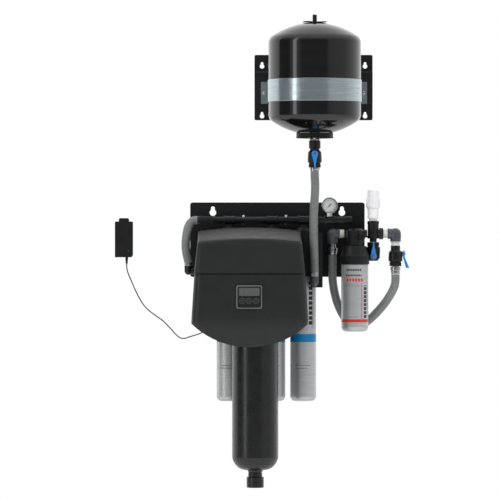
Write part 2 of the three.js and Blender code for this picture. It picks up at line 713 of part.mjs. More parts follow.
// The tank's wall bracket: two flanges on the wall and a raised middle that the tank rests on.
function tankBracketPlate() {
  const b = tankBracket;
  const half = tank.radius + b.sideMargin;
  const left = b.centreX - half;
  const right = b.centreX + half;
  const t = b.thickness;
  const front = -b.raise - t;
  const fold = t * Math.tan(Math.PI / 8); // how far a 45 degree fold moves the outer face's crease
  const profile = outline([
    [0, b.bottom], [0, b.creaseLow], [-b.raise, b.creaseLow + b.raise],
    [-b.raise, b.creaseHigh - b.raise], [0, b.creaseHigh], [0, b.top], [-t, b.top],
    [-t, b.creaseHigh + fold], [front, b.creaseHigh - b.raise + fold],
    [front, b.creaseLow + b.raise - fold], [-t, b.creaseLow - fold], [-t, b.bottom],
  ]);
  const folded = sideSlab(profile, left, right - left);
  const face = roundedRectangle(left, right, b.bottom, b.top, b.corner);
  for (const x of [left + b.keyholeInset, right - b.keyholeInset]) {
    for (const z of [b.lowHeadZ, b.highHeadZ]) {
      face.holes.push(keyhole(x, z, b.headRadius, z + b.slotRise, b.slotRadius));
    }
  }
  return common(folded, frontSlab(face, -OVERCUT, b.raise + t + 2 * OVERCUT));
}

// The galvanised strap: half round the tank, straight back along its sides and out in two flanges.
function tankStrap() {
  const s = strap;
  const inner = tank.radius + s.clearance;
  const outer = inner + s.thickness;
  const back = -(tankBracket.raise + tankBracket.thickness + GAP);
  const bend = back - s.thickness;
  const shape = new THREE.Shape();
  shape.moveTo(tank.x - outer - s.flange, back);
  shape.lineTo(tank.x - outer - s.flange, bend);
  shape.lineTo(tank.x - outer, bend);
  shape.absarc(tank.x, -tankDepth, outer, Math.PI, 2 * Math.PI);
  shape.lineTo(tank.x + outer, bend);
  shape.lineTo(tank.x + outer + s.flange, bend);
  shape.lineTo(tank.x + outer + s.flange, back);
  shape.lineTo(tank.x + inner, back);
  shape.absarc(tank.x, -tankDepth, inner, 0, -Math.PI, true);
  shape.lineTo(tank.x - inner, back);
  return planSlab(shape, s.z - s.width / 2, s.width, ARC.large);
}

// ---------- Membrane group behind the cowl ----------

// The front bracket: a plate held off the backplate by a channel between two prefilters and by a
// side flange, with an ear for the tank hose and one for the power jack.
function roBracketBody() {
  const b = roBracket;
  const back = b.depth - b.thickness;
  const standOff = plate.thickness + GAP;
  const face = outline([
    [b.left, b.top], [b.left, b.bottom], [b.jackEarLeft, b.bottom], [b.jackEarLeft, b.jackEarBottom],
    [b.jackEarRight, b.jackEarBottom], [b.jackEarRight, b.bottom], [b.cornerRight, b.bottom],
    [b.cornerRight, b.shoulder], [b.earLeft, b.shoulder], [b.earLeft, b.earBottom],
    [b.right, b.earBottom], [b.right, b.top],
  ]);
  const hole = new THREE.Path();
  const holeRadius = tankHoseEnd.armRadius + b.clearance;
  hole.absarc(tankHoseEnd.x, tankHoseEnd.elbowZ, holeRadius, 0, 2 * Math.PI, true);
  face.holes.push(hole);
  const front = frontSlab(face, back, b.thickness);
  const half = b.channelWidth / 2;
  const webs = [b.channelX - half, b.channelX + half - b.thickness].map((x) =>
    box(x, x + b.thickness, standOff, back + OVERCUT, b.channelBottom, b.top),
  );
  const channelBack = box(
    b.channelX - half, b.channelX + half, standOff, standOff + b.thickness, b.channelBottom, b.top,
  );
  const side = box(b.right - b.thickness, b.right, standOff, back + OVERCUT, b.sideBottom, b.top);
  const feedFlange = box(
    b.left, b.left + b.thickness, b.feedFlangeDepth, back + OVERCUT, b.feedFlangeBottom, b.top,
  );
  const feedHole = placed(
    rod(feedElbow.armRadius + b.clearance, b.left - OVERCUT, b.left + b.thickness + OVERCUT),
    at(0, feedElbow.depth, feedElbow.elbowZ), X,
  );
  return cut(join(front, ...webs, channelBack, side, feedFlange), feedHole);
}

// The head that the housing screws into: a dome with a thick roof on a foot.
function membraneHeadBody() {
  const m = membraneHead;
  const socket = socketRadius(housing.threadRadius, SIDES.large);
  const dome = [
    [0, m.bottom], [m.radius, m.bottom], [m.radius, m.shoulder], [m.topRadius, m.top], [0, m.top],
  ];
  const hollow = [
    [0, m.bottom - OVERCUT], [socket, m.bottom - OVERCUT], [socket, m.shoulder - m.roof],
    [m.roofRadius, m.top - m.roof], [0, m.top - m.roof],
  ];
  const place = at(m.x, m.depth, 0);
  const foot = box(
    m.x - m.footWidth / 2, m.x + m.footWidth / 2, roBracket.depth + GAP, m.depth,
    m.footBottom, m.footTop,
  );
  const body = join(placed(turned(dome, SIDES.large), place), foot);
  return cut(body, placed(turned(hollow, SIDES.large), place));
}

// The membrane's pressure housing: a tube with a threaded mouth, a collar and a rounded foot.
function membraneHousing() {
  const h = housing;
  const top = membraneHead.bottom - GAP;
  const threadTop = top + h.threadHeight;
  const collarBottom = top - h.collarHeight;
  const inner = h.radius - h.wall;
  const mouth = h.threadRadius - h.wall;
  const soft = (1 - Math.SQRT1_2) * h.corner;
  const profile = [
    [h.bore, neckBottom], [h.neckRadius, neckBottom], [h.neckRadius + h.collarTaper, h.bottom],
    [h.radius - h.corner, h.bottom], [h.radius - soft, h.bottom + soft],
    [h.radius, h.bottom + h.corner], [h.radius, collarBottom - h.collarTaper],
    [h.collarRadius, collarBottom], [h.collarRadius, top], [h.threadRadius, top],
    [h.threadRadius, threadTop], [mouth, threadTop], [mouth, collarBottom],
    [inner, collarBottom - 2 * h.collarTaper], [inner, h.bottom + h.corner],
    [h.radius - h.corner, h.bottom + h.wall], [h.bore, h.bottom + h.wall], [h.bore, neckBottom],
  ];
  return placed(turned(profile, SIDES.large), at(membraneHead.x, membraneHead.depth, 0));
}

// The rolled membrane element on its product tube.
function membraneElement() {
  const e = element;
  const bottom = housing.bottom + e.clearance;
  const tubeBottom = bottom - e.tubeLength;
  const profile = [
    [0, tubeBottom], [e.tubeRadius, tubeBottom], [e.tubeRadius, bottom], [e.radius, bottom],
    [e.radius, e.top], [e.tubeRadius, e.top], [e.tubeRadius, e.tubeTop], [0, e.tubeTop],
  ];
  return placed(turned(profile, SIDES.medium), at(membraneHead.x, membraneHead.depth, 0));
}

function housingCapBody() {
  const c = housingCap;
  const top = neckBottom - GAP;
  const nutTop = neckBottom - c.collarHeight;
  const bottom = nutTop - c.nutHeight;
  const nut = rod(c.nutRadius, bottom, nutTop);
  const collar = rod(c.collarRadius, nutTop - OVERCUT, top);
  const bore = rod(c.bore, bottom - OVERCUT, top + OVERCUT);
  return placed(cut(join(nut, collar), bore), at(membraneHead.x, membraneHead.depth, 0));
}

// The booster pump: its motor, a narrow waist and the pump head on top, on a foot.
function boosterPump() {
  const p = pump;
  const waist = p.radius - p.waist;
  const waistTop = p.motorTop + p.waistHeight;
  const profile = [
    [0, p.bottom], [p.radius - p.edge, p.bottom], [p.radius, p.bottom + p.edge],
    [p.radius, p.motorTop - p.edge], [waist, p.motorTop], [waist, waistTop - p.edge],
    [p.radius, waistTop], [p.radius, p.top - p.domeRise], [p.domeRadius, p.top], [0, p.top],
  ];
  const motor = placed(turned(profile, SIDES.medium), at(p.x, p.depth, 0));
  const foot = box(
    p.x - p.footWidth / 2, p.x + p.footWidth / 2, roBracket.depth + GAP, p.depth,
    p.footBottom, p.footTop,
  );
  return join(motor, foot);
}

// ---------- Cowl ----------

// A level section of the cowl: straight at the back, with round front corners.
function cowlSection(half, front, rear, radius) {
  const corner = (side) =>
    Array.from({ length: cowl.cornerSteps + 1 }, (_, i) => {
      const a = (i * Math.PI) / 2 / cowl.cornerSteps;
      const across = half - radius + radius * Math.cos(a);
      return [cowl.x + side * across, -(front - radius + radius * Math.sin(a))];
    });
  return [[cowl.x + half, -rear], ...corner(1), ...corner(-1).reverse(), [cowl.x - half, -rear]];
}

// Joins level sections, listed from the bottom up, into one closed solid.
function loft(sections) {
  const count = sections[0].points.length;
  const vertices = sections.flatMap(({ z, points }) => points.flatMap(([x, y]) => [x, y, z]));
  const faces = [];
  for (let s = 0; s + 1 < sections.length; s++) {
    for (let i = 0; i < count; i++) {
      const a = s * count + i;
      const b = s * count + ((i + 1) % count);
      faces.push(b, a, a + count, b, a + count, b + count);
    }
  }
  const last = (sections.length - 1) * count;
  for (let i = 1; i + 1 < count; i++) {
    faces.push(0, i, i + 1, last, last + i + 1, last + i);
  }
  const geometry = new THREE.BufferGeometry();
  geometry.setAttribute("position", new THREE.Float32BufferAttribute(vertices, 3));
  geometry.setIndex(faces);
  return geometry;
}

// The cowl's outer form, or its hollow when it is drawn in by the wall. Level sections give the
// front's depth, a sheared slab gives the crowned and sloping top, and another the round bottom.
function cowlForm(inset, rear) {
  const c = cowl;
  const below = c.bottomZ - c.reserve;
  const levels = [
    [below, c.sideHalfWidth, c.chinDepth], [c.chinZ, c.sideHalfWidth, c.panelDepth],
    [c.seamZ - c.seamStep, c.seamHalfWidth, c.panelDepth], [c.seamZ, c.seamHalfWidth, c.seamDepth],
    [c.topHalfZ, c.topHalfWidth, c.topDepth], [c.topFrontZ + c.rise, c.topHalfWidth, c.topDepth],
  ];
  const body = loft(
    levels.map(([z, half, front]) => ({
      z, points: cowlSection(half - inset, front - inset, rear, c.cornerRadius - inset),
    })),
  );
  const half = c.sideHalfWidth + c.reserve;
  const slabDepth = c.seamDepth + c.reserve;
  const crown = (c.topHalfWidth ** 2 + c.crownRise ** 2) / (2 * c.crownRise) - inset;
  const crownAngle = Math.asin(half / crown);
  const roof = new THREE.Shape();
  roof.moveTo(c.x - half, below - c.rise);
  roof.lineTo(c.x + half, below - c.rise);
  roof.absarc(c.x, c.topFrontZ - inset - crown, crown, Math.PI / 2 - crownAngle, Math.PI / 2 + crownAngle);
  const shear = new THREE.Matrix4().set(
    1, 0, 0, 0,
    0, 1, 0, 0,
    0, c.topSlope, 1, c.topSlope * c.topFrontDepth,
    0, 0, 0, 1,
  );
  const top = frontSlab(roof, 0, slabDepth, ARC.medium).applyMatrix4(shear);
  const radius = c.bottomRadius - inset;
  const reach = Math.acos(half / radius);
  const round = new THREE.Shape();
  round.absarc(c.x, c.bottomZ + c.bottomRadius, radius, Math.PI + reach, 2 * Math.PI - reach);
  round.lineTo(c.x + half, c.topFrontZ + c.rise);
  round.lineTo(c.x - half, c.topFrontZ + c.rise);
  return common(body, top, frontSlab(round, 0, slabDepth, ARC.large));
}

// The shell is open at the back, and a slot in its floor lets it slide forward past the housing.
function cowlShell() {
  const c = cowl;
  const shell = cut(cowlForm(0, c.rear), cowlForm(c.wall, c.rear - c.reserve));
  const slotHalf = housing.radius + c.slotClearance;
  const slot = new THREE.Shape();
  slot.moveTo(membraneHead.x - slotHalf, 0);
  slot.lineTo(membraneHead.x - slotHalf, -membraneHead.depth);
  slot.absarc(membraneHead.x, -membraneHead.depth, slotHalf, Math.PI, 2 * Math.PI);
  slot.lineTo(membraneHead.x + slotHalf, 0);
  return cut(shell, planSlab(slot, c.bottomZ - OVERCUT, c.slotHeight, ARC.medium));
}

// The circuit board behind the display, on four posts that reach the cowl's inner face.
function controllerBoard() {
  const b = board;
  const postEnd = cowl.panelDepth - cowl.wall - GAP;
  const front = postEnd - b.gap;
  const sheet = box(b.left, b.right, front - b.thickness, front, b.bottom, b.top);
  const posts = [b.left + b.inset, b.right - b.inset].flatMap((x) =>
    [b.bottom + b.inset, b.top - b.inset].map((z) =>
      placed(rod(b.postRadius, front - b.thickness / 2, postEnd, SIDES.tiny), at(x, 0, z), FRONT),
    ),
  );
  return join(sheet, ...posts);
}

// ---------- Display ----------

const bezelBack = cowl.panelDepth + GAP;
const bezelFront = bezelBack + bezel.thickness;
const buttonXs = {
  left: bezel.x - bezel.buttonPitch, middle: bezel.x, right: bezel.x + bezel.buttonPitch,
};

function displayBezel() {
  const b = bezel;
  const half = b.width / 2;
  const shape = roundedRectangle(b.x - half, b.x + half, b.top - b.height, b.top, b.corner);
  const windowHalf = b.windowWidth / 2;
  const windowHole = roundedRectangle(
    b.x - windowHalf, b.x + windowHalf, b.windowTop - b.windowHeight, b.windowTop, GAP,
  );
  shape.holes.push(windowHole);
  for (const x of Object.values(buttonXs)) {
    const hole = new THREE.Path();
    hole.absarc(x, b.buttonZ, b.buttonRadius + RUNNING_GAP, 0, 2 * Math.PI, true);
    shape.holes.push(hole);
  }
  return frontSlab(shape, bezelBack, b.thickness);
}

function displayWindow() {
  const b = bezel;
  const half = b.windowWidth / 2 - GAP;
  const front = bezelFront - b.windowInset;
  return box(
    b.x - half, b.x + half, front - b.windowThickness, front,
    b.windowTop - b.windowHeight + GAP, b.windowTop - GAP,
  );
}

function button(x) {
  const b = bezel;
  const front = bezelFront + b.buttonProud;
  const cap = turned([
    [0, front - b.buttonLength], [b.buttonRadius, front - b.buttonLength],
    [b.buttonRadius, front - b.buttonEdge], [b.buttonRadius - b.buttonEdge, front], [0, front],
  ]);
  return placed(cap, at(x, 0, b.buttonZ), FRONT);
}

// ---------- Hoses, their fittings and the power lead ----------

// A hose barb that hangs from a fitting: a threaded nipple, a collar and a crimp ring.
function hangingBarb(x, depth, top, b) {
  const ringTop = b.end + barb.ringHeight;
  const profile = [
    [0, b.end], [barb.ringRadius, b.end], [barb.ringRadius, ringTop], [barb.nippleRadius, ringTop],
    [barb.nippleRadius, b.collarBottom], [barb.collarRadius, b.collarBottom],
    [barb.collarRadius, b.collarTop], [barb.nippleRadius, b.collarTop], [barb.nippleRadius, top - GAP],
    [0, top - GAP],
  ];
  return placed(turned(profile), at(x, depth, 0));
}

const tankValveBottom = tankValveReach.leverZ - tankValveReach.near;

function tankHoseBarb() {
  const collarTop = tankValveBottom - barb.tankNipple;
  const profile = [
    [0, tankHoseTop + GAP], [barb.collarRadius, tankHoseTop + GAP], [barb.collarRadius, collarTop],
    [barb.nippleRadius, collarTop], [barb.nippleRadius, tankValveBottom - GAP],
    [0, tankValveBottom - GAP],
  ];
  return placed(turned(profile), at(tank.x, tankDepth, 0));
}

// The elbow at the foot of the tank hose turns back through the bracket's ear.
function tankHoseElbow() {
  const e = tankHoseEnd;
  const drop = placed(rod(e.radius, e.elbowZ, e.top - GAP), at(e.x, e.depth, 0));
  const arm = placed(rod(e.armRadius, e.armEnd, e.depth), at(e.x, 0, e.elbowZ), FRONT);
  return join(drop, cornerBall(e.radius, at(e.x, e.depth, e.elbowZ)), arm);
}

// The elbow at the foot of the feed hose turns right, behind the cowl.
function feedElbowBody() {
  const e = feedElbow;
  const top = e.top - GAP;
  const drop = placed(rod(e.radius, e.elbowZ, top), at(e.x, e.depth, 0));
  const nut = placed(rod(e.nutRadius, top - e.nutHeight, top), at(e.x, e.depth, 0));
  const arm = placed(rod(e.armRadius, e.x, e.armEnd), at(0, e.depth, e.elbowZ), X);
  return join(drop, cornerBall(e.radius, at(e.x, e.depth, e.elbowZ)), arm, nut);
}

// Each route runs from its first fitting to its second, and keeps a short straight stretch at both.
const tankHoseRoute = [
  at(tank.x, 150, tankHoseTop), at(tank.x, 150, 104), at(112.6, 149, 80), at(112.2, 147, 55),
  at(110.4, 144, 25), at(108.8, 140, -5), at(108.3, 136, -40), at(108.8, 132, -80),
  at(110, 129.4, -120), at(110.8, 128.2, -155), at(111, 128, -180), at(111, 128, tankHoseEnd.top),
];
const loopHoseRoute = [
  at(166.5, 60, loopBarbLeft.end - GAP), at(166.5, 60, -150), at(166.3, 59, -175), at(166.9, 57, -205),
  at(171.5, 53, -240), at(182, 47, -280), at(198, 41, -314), at(216, 37, -338),
  at(237, 36, -350), at(259, 36.5, -345), at(283, 40, -327), at(306, 45, -304),
  at(328, 50, -277), at(345, 54, -250), at(355, 57.5, -228), at(rightElbow.x, 60, -210),
  at(rightElbow.x, 60, loopBarbRight.end - GAP),
];
const feedHoseRoute = [
  at(coupling.left - GAP, pipe.depth, pipe.z), at(-248, pipe.depth, pipe.z), at(-256, 59, -30.5),
  at(-264.5, 61.5, -37), at(-271, 65.5, -49), at(-275.5, 71, -67), at(-278, 78, -89),
  at(-278.3, 84, -111), at(-275.5, 88, -132), at(-271.3, 89.8, -149),
  at(feedElbow.x, feedElbow.depth, -158), at(feedElbow.x, feedElbow.depth, feedElbow.top),
];
const powerCordRoute = [
  at(cord.x, cord.depth, cord.top), at(-458.5, 33, -172), at(-454.8, 34, -188), at(-448.2, 36, -204),
  at(-440.5, 39, -222), at(-432, 42, -241), at(-421.5, 46, -262), at(-408.5, 51, -283),
  at(-396.5, 55, -297), at(-383.5, 59, -308), at(-366, 64, -320.5), at(-347, 69, -334),
  at(-333.5, 73, -347.5), at(-320.5, 76, -361), at(-308.5, 79, -374.5), at(-295, 82.5, -385),
  at(-281, 86, -386.5), at(-267.5, 89, -382), at(-254, 91.5, -378), at(-240, 93.3, -373.5),
  at(-227, 94, -368), at(-215, jack.depth, jack.z), at(jack.x - GAP, jack.depth, jack.z),
];

// The adapter's upright block with a low hump on top, two outlet blades and a tapered cord boot.
function powerAdapter() {
  const a = adapter;
  const quarter = Math.PI / 2;
  const body = new THREE.Shape();
  body.moveTo(a.left, a.bottom);
  body.lineTo(a.right - a.corner, a.bottom);
  body.absarc(a.right - a.corner, a.bottom + a.corner, a.corner, -quarter, 0);
  body.absarc(a.right - a.edge, a.top - a.edge, a.edge, 0, quarter);
  body.lineTo(a.humpRight, a.top);
  body.absarc(a.humpRight - a.edge, a.humpTop - a.edge, a.edge, 0, quarter);
  body.absarc(a.humpLeft + a.edge, a.humpTop - a.edge, a.edge, quarter, 2 * quarter);
  body.lineTo(a.humpLeft, a.top);
  body.absarc(a.left + a.edge, a.top - a.edge, a.edge, quarter, 2 * quarter);
  const block = frontSlab(body, a.back, a.thickness);
  const half = a.bladeThickness / 2;
  const bladeBottom = a.bladeZ - a.bladeWidth / 2;
  const blades = [-1, 1].map((side) => {
    const x = (a.left + a.right + side * a.bladeSpacing) / 2;
    return box(x - half, x + half, a.bladeEnd, a.back + OVERCUT, bladeBottom, bladeBottom + a.bladeWidth);
  });
  const boot = turned([
    [0, cord.top + GAP], [relief.endRadius, cord.top + GAP], [relief.topRadius, a.bottom + OVERCUT],
    [0, a.bottom + OVERCUT],
  ]);
  return join(block, ...blades, placed(boot, at(cord.x, cord.depth, 0)));
}

// The jack on the bracket's ear that the lead ends in.
function powerJack() {
  const j = jack;
  const half = j.footWidth / 2;
  const barrel = placed(rod(j.radius, 0, j.length), at(j.x, j.depth, j.z), X);
  const foot = box(
    j.x + j.footStart, j.x + j.footStart + j.footWidth, j.depth,
    roBracket.depth - roBracket.thickness - GAP, j.z - half, j.z + half,
  );
  return join(barrel, foot);
}

// ---------- The whole unit ----------

add("backplate", backplate(), blackSteel);
add("manifold", manifold(), blackPlastic);
add("manifold_coupling", manifoldCoupling(), blackPlastic);

for (const [side, x] of Object.entries(prefilter.at)) {
  const f = { ...prefilter, x };
  add(`head_${side}`, prefilterHead(f), blackPlastic);
  add(`rotor_${side}`, rotorBody(f), greyPlastic);
  add(`cartridge_${side}`, cartridgeBody(f), silverCan);
}
add("blend_head", blendHead(blendFilter), blackPlastic);
add("blend_rotor", rotorBody(blendFilter), greyPlastic);
add("blend_cartridge", cartridgeBody(blendFilter), silverCan);
add("blend_knob", blendKnob(blendFilter), blackPlastic);

add("gauge_case", gaugeCase(), steel);
add("gauge_needle", gaugeNeedle(), needleDark);
add("gauge_lens", gaugeLens(), lensClear);

add("left_elbow", elbow(leftElbow, X), greyPlastic);
add("right_elbow", elbow(rightElbow, LEFT), greyPlastic);
add("inlet_tee", inletTee(), blackPlastic);
add("inlet_check_valve", inletCheckValve(), clearWhite);

addValve("tank", tankValveReach, {
  x: tank.x, depth: tankDepth, farNut: true, outward: FRONT, axis: Z, blade: DOWN,
});
addValve("outlet", outletValveReach, {
  x: rightElbow.x, depth: ports.depth, farNut: false, outward: X, axis: Z, blade: DOWN,
});
addValve("blend", blendValveReach, {
  x: tee.x, depth: ports.depth, farNut: false, outward: FRONT, axis: DOWN, blade: Z,
});

add("tank_shell", tankShell(), glossBlack);
add("tank_diaphragm", tankDiaphragm(), rubber);
add("tank_foot_ring", tankFootRing(), blackSteel);
add("air_valve", airValveBody(), steel);
add("air_valve_cap", airValveCap(), blackPlastic);
add("tank_bracket", tankBracketPlate(), blackSteel);
add("tank_strap", tankStrap(), zinc);

add("ro_bracket", roBracketBody(), blackSteel);
add("membrane_head", membraneHeadBody(), blackPlastic);
add("membrane_housing", membraneHousing(), blackPlastic);
add("membrane_element", membraneElement(), elementWhite);
add("housing_cap", housingCapBody(), blackPlastic);
add("booster_pump", boosterPump(), greyPlastic);
add("cowl", cowlShell(), cowlPlastic);
add("controller_board", controllerBoard(), boardGreen);
add("display_bezel", displayBezel(), cowlPlastic);
add("display_window", displayWindow(), lcdGrey);
for (const [side, x] of Object.entries(buttonXs)) {
  add(`button_${side}`, button(x), greyPlastic);
}

add("tank_hose_barb", tankHoseBarb(), steel);
add("tank_hose", along(tankHoseRoute, hose.radius, hose.sides, 18), hoseGrey);
add("tank_hose_elbow", tankHoseElbow(), greyPlastic);
add("loop_barb_left", hangingBarb(leftElbow.x, ports.depth, leftElbow.bottom, loopBarbLeft), steel);
add("loop_hose", along(loopHoseRoute, hose.radius, hose.sides, 30), hoseGrey);
add(
  "loop_barb_right",
  hangingBarb(rightElbow.x, ports.depth, outletValveReach.leverZ - outletValveReach.near, loopBarbRight),
  steel,
);
add("feed_hose", along(feedHoseRoute, hose.radius, hose.sides, 14), hoseGrey);
add("feed_elbow", feedElbowBody(), blackPlastic);

add("power_adapter", powerAdapter(), blackPlastic);
add("power_cord", along(powerCordRoute, cord.radius, cord.sides, 40), cordGrey);
add("power_jack", powerJack(), blackPlastic);

export default unit;
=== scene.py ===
"""A wall-hung reverse osmosis unit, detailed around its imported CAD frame.

Metres, +Z up, in the CAD's own frame: the wall is the plane y = 0 and the unit stands in front of
it at y < 0. Places and sizes repeat the CAD's, in millimetres, times MM.
"""

import math

import bmesh
import bpy
from mathutils import Matrix, Vector


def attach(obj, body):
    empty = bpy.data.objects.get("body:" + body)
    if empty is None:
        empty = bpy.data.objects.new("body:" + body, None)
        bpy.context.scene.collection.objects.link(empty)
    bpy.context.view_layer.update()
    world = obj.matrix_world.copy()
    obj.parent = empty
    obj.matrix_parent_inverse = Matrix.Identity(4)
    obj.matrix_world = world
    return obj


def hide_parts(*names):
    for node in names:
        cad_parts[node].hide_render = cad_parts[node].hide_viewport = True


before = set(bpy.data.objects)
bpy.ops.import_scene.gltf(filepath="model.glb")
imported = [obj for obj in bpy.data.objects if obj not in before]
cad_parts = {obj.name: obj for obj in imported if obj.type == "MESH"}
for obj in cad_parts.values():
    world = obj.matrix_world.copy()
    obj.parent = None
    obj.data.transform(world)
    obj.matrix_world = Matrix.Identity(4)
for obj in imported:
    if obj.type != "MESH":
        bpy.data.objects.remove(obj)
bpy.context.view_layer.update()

MM = 0.001
UP, DOWN = Vector((0, 0, 1)), Vector((0, 0, -1))
RIGHT = Vector((1, 0, 0))
FRONT = Vector((0, -1, 0))


def at(x, depth, z):
    """A point from millimetres across, in front of the wall and up."""
    return Vector((x, -depth, z)) * MM


def mm(*pairs):
    """A profile of (radius, height) pairs given in millimetres."""
    return [(r * MM, h * MM) for r, h in pairs]


TANK_AXIS = at(111.3, 150, 0)
HOUSING_AXIS = at(-68, 190, 0)
PIPE_AXIS = at(0, 58, -28.5)
FITTING_AXIS = at(0, 60, -69.5)
GAUGE_AXIS = at(158, 0, 16.1)
INLET_AXIS = at(290.3, 60, 0)
CARTRIDGES = {"left": -145.5, "middle": -15.9, "right": 77.6}
CLIPS = (-103.3, 25.7)


# ---------- Camera and light ----------

CAMERA = Vector((-0.0836, -12.0, -0.119))
SENSOR_MM = 36.0
LENS_MM = 283.3


def make_camera():
    data = bpy.data.cameras.new("camera")
    data.sensor_width = SENSOR_MM
    data.lens = LENS_MM
    data.clip_end = 60
    camera = bpy.data.objects.new("camera", data)
    camera.location = CAMERA
    camera.rotation_euler = (math.radians(90), 0, 0)
    bpy.context.scene.collection.objects.link(camera)
    bpy.context.scene.camera = camera
    bpy.context.scene.view_settings.view_transform = "Standard"


# The studio seen in reflections, by direction round the unit: -180 is the white sweep behind it,
# -90 the left, 0 the dark room behind the camera and 90 the right.
STUDIO = [
    (-180, 1.15), (-128, 1.05), (-102, 0.8), (-98, 0.10), (-67, 0.08), (-64, 0.34), (-57, 0.4),
    (-55, 2.4), (-48, 2.4), (-46, 0.4), (-38, 0.3), (-34, 0.14), (28, 0.14), (36, 0.36), (80, 0.45),
    (120, 0.8), (150, 1.05), (180, 1.15),
]
ZENITH_LIGHT = 0.85
FLOOR_Z = -1.45
LIT_POINT = Vector((0, -0.15, -0.1))


def make_world():
    world = bpy.data.worlds.new("studio")
    bpy.context.scene.world = world
    world.use_nodes = True
    tree = world.node_tree
    tree.nodes.clear()
    t = Nodes(tree)
    x, y, z = t.split(t.add("TexCoord")["Generated"])
    angle = t.math("ARCTAN2", x, t.math("MULTIPLY", y, -1.0))
    share = t.math("MULTIPLY_ADD", angle, 0.5 / math.pi, 0.5)
    ring = t.ramp(share, [((a + 180) / 360, (v, v, v)) for a, v in STUDIO])
    high = t.add("MapRange", {"Value": z, "From Min": 0.35, "From Max": 0.8})["Result"]
    top = t.add("Mix", {"Factor": high, "A": ring, "B": (ZENITH_LIGHT,) * 3 + (1,)}, data_type="RGBA")
    studio = t.add("Background", {"Color": top["Result"], "Strength": 1.0})
    sweep = t.add("Background", {"Color": (1, 1, 1, 1), "Strength": 1.0})
    seen = t.add("LightPath")["Is Camera Ray"]
    both = t.add("MixShader", {0: seen, 1: studio["Background"], 2: sweep["Background"]})
    t.add("OutputWorld", {"Surface": both["Shader"]})


def make_light(name, place, size, power):
    data = bpy.data.lights.new(name, "AREA")
    data.shape = "RECTANGLE"
    data.size, data.size_y = size
    data.energy = power
    light = bpy.data.objects.new(name, data)
    light.visible_glossy = False
    light.location = place
    light.rotation_euler = (LIT_POINT - place).to_track_quat("-Z", "Y").to_euler()
    bpy.context.scene.collection.objects.link(light)


def make_floor():
    bm = bmesh.new()
    bmesh.ops.create_circle(bm, cap_ends=True, segments=96, radius=7.5)
    mesh = bpy.data.meshes.new("floor")
    bm.to_mesh(mesh)
    bm.free()
    floor = bpy.data.objects.new("floor", mesh)
    floor.location = (0, 0, FLOOR_Z)
    material = bpy.data.materials.new("floor")
    material.use_nodes = True
    shader = material.node_tree.nodes["Principled BSDF"]
    shader.inputs["Base Color"].default_value = (0.82, 0.82, 0.81, 1)
    shader.inputs["Roughness"].default_value = 0.7
    mesh.materials.append(material)
    bpy.context.scene.collection.objects.link(floor)


# ---------- Materials ----------


class Nodes:
    """Adds shader nodes to a tree, a line each."""

    def __init__(self, tree):
        self.tree = tree

    def add(self, kind, inputs=None, **settings):
        made = self.tree.nodes.new("ShaderNode" + kind)
        for name, value in settings.items():
            setattr(made, name, value)
        for name, value in (inputs or {}).items():
            socket = self.socket(made.inputs, name)
            if isinstance(value, bpy.types.NodeSocket):
                self.tree.links.new(value, socket)
            else:
                socket.default_value = value
        return Outputs(made)

    @staticmethod
    def socket(sockets, name):
        if isinstance(name, int):
            return sockets[name]
        return next(s for s in sockets if s.name == name and s.enabled)

    def math(self, operation, *values):
        return self.add("Math", dict(enumerate(values)), operation=operation)["Value"]

    def split(self, vector):
        parts = self.add("SeparateXYZ", {"Vector": vector})
        return parts["X"], parts["Y"], parts["Z"]

    def mix(self, factor, a, b):
        return self.add("Mix", {"Factor": factor, "A": a, "B": b}, data_type="RGBA")["Result"]

    def ramp(self, value, stops):
        made = self.tree.nodes.new("ShaderNodeValToRGB")
        self.tree.links.new(value, made.inputs[0])
        points = made.color_ramp.elements
        while len(points) > 1:
            points.remove(points[0])
        points[0].position, points[0].color = stops[0][0], (*stops[0][1], 1)
        for position, color in stops[1:]:
            points.new(position).color = (*color, 1)
        return made.outputs["Color"]

    def noise(self, vector, scale, detail=3.0, stretch=None):
        if stretch:
            vector = self.add("Mapping", {"Vector": vector, "Scale": stretch})["Vector"]
        return self.add("TexNoise", {"Vector": vector, "Scale": scale, "Detail": detail})["Fac"]

    def spread(self, value, low, high):
        """Turns a noise value, mostly 0.3 to 0.7, into one from low to high."""
        return self.add("MapRange", {
            "Value": value, "From Min": 0.3, "From Max": 0.7, "To Min": low, "To Max": high,
        })["Result"]

    def bump(self, height, distance_mm, strength=0.6):
        return self.add("Bump", {
            "Height": height, "Distance": distance_mm * MM, "Strength": strength,
        })["Normal"]


class Outputs:
    """A node's outputs by name, passing over the hidden ones."""

    def __init__(self, made):
        self.made = made

    def __getitem__(self, name):
        return Nodes.socket(self.made.outputs, name)


def socket_name(name):
    return name.replace("_", " ").title().replace("Ior", "IOR")


class Look(Nodes):
    """A Principled material under construction; plain values go on its own sockets."""

    def __init__(self, name, **values):
        self.material = bpy.data.materials.new(name)
        self.material.use_nodes = True
        super().__init__(self.material.node_tree)
        self.shader = self.tree.nodes["Principled BSDF"]
        for socket, value in values.items():
            self.shader.inputs[socket_name(socket)].default_value = value
        self.place = self.add("TexCoord")["Object"]

    def cloud(self, scale, detail, low, high):
        """Noise through the object, from low to high."""
        return self.spread(self.noise(self.place, scale, detail), low, high)

    def finish(self, **sockets):
        for name, value in sockets.items():
            self.tree.links.new(value, self.shader.inputs[socket_name(name)])
        return self.material


def rgb(color, factor=1.0):
    return (*(c * factor for c in color), 1)


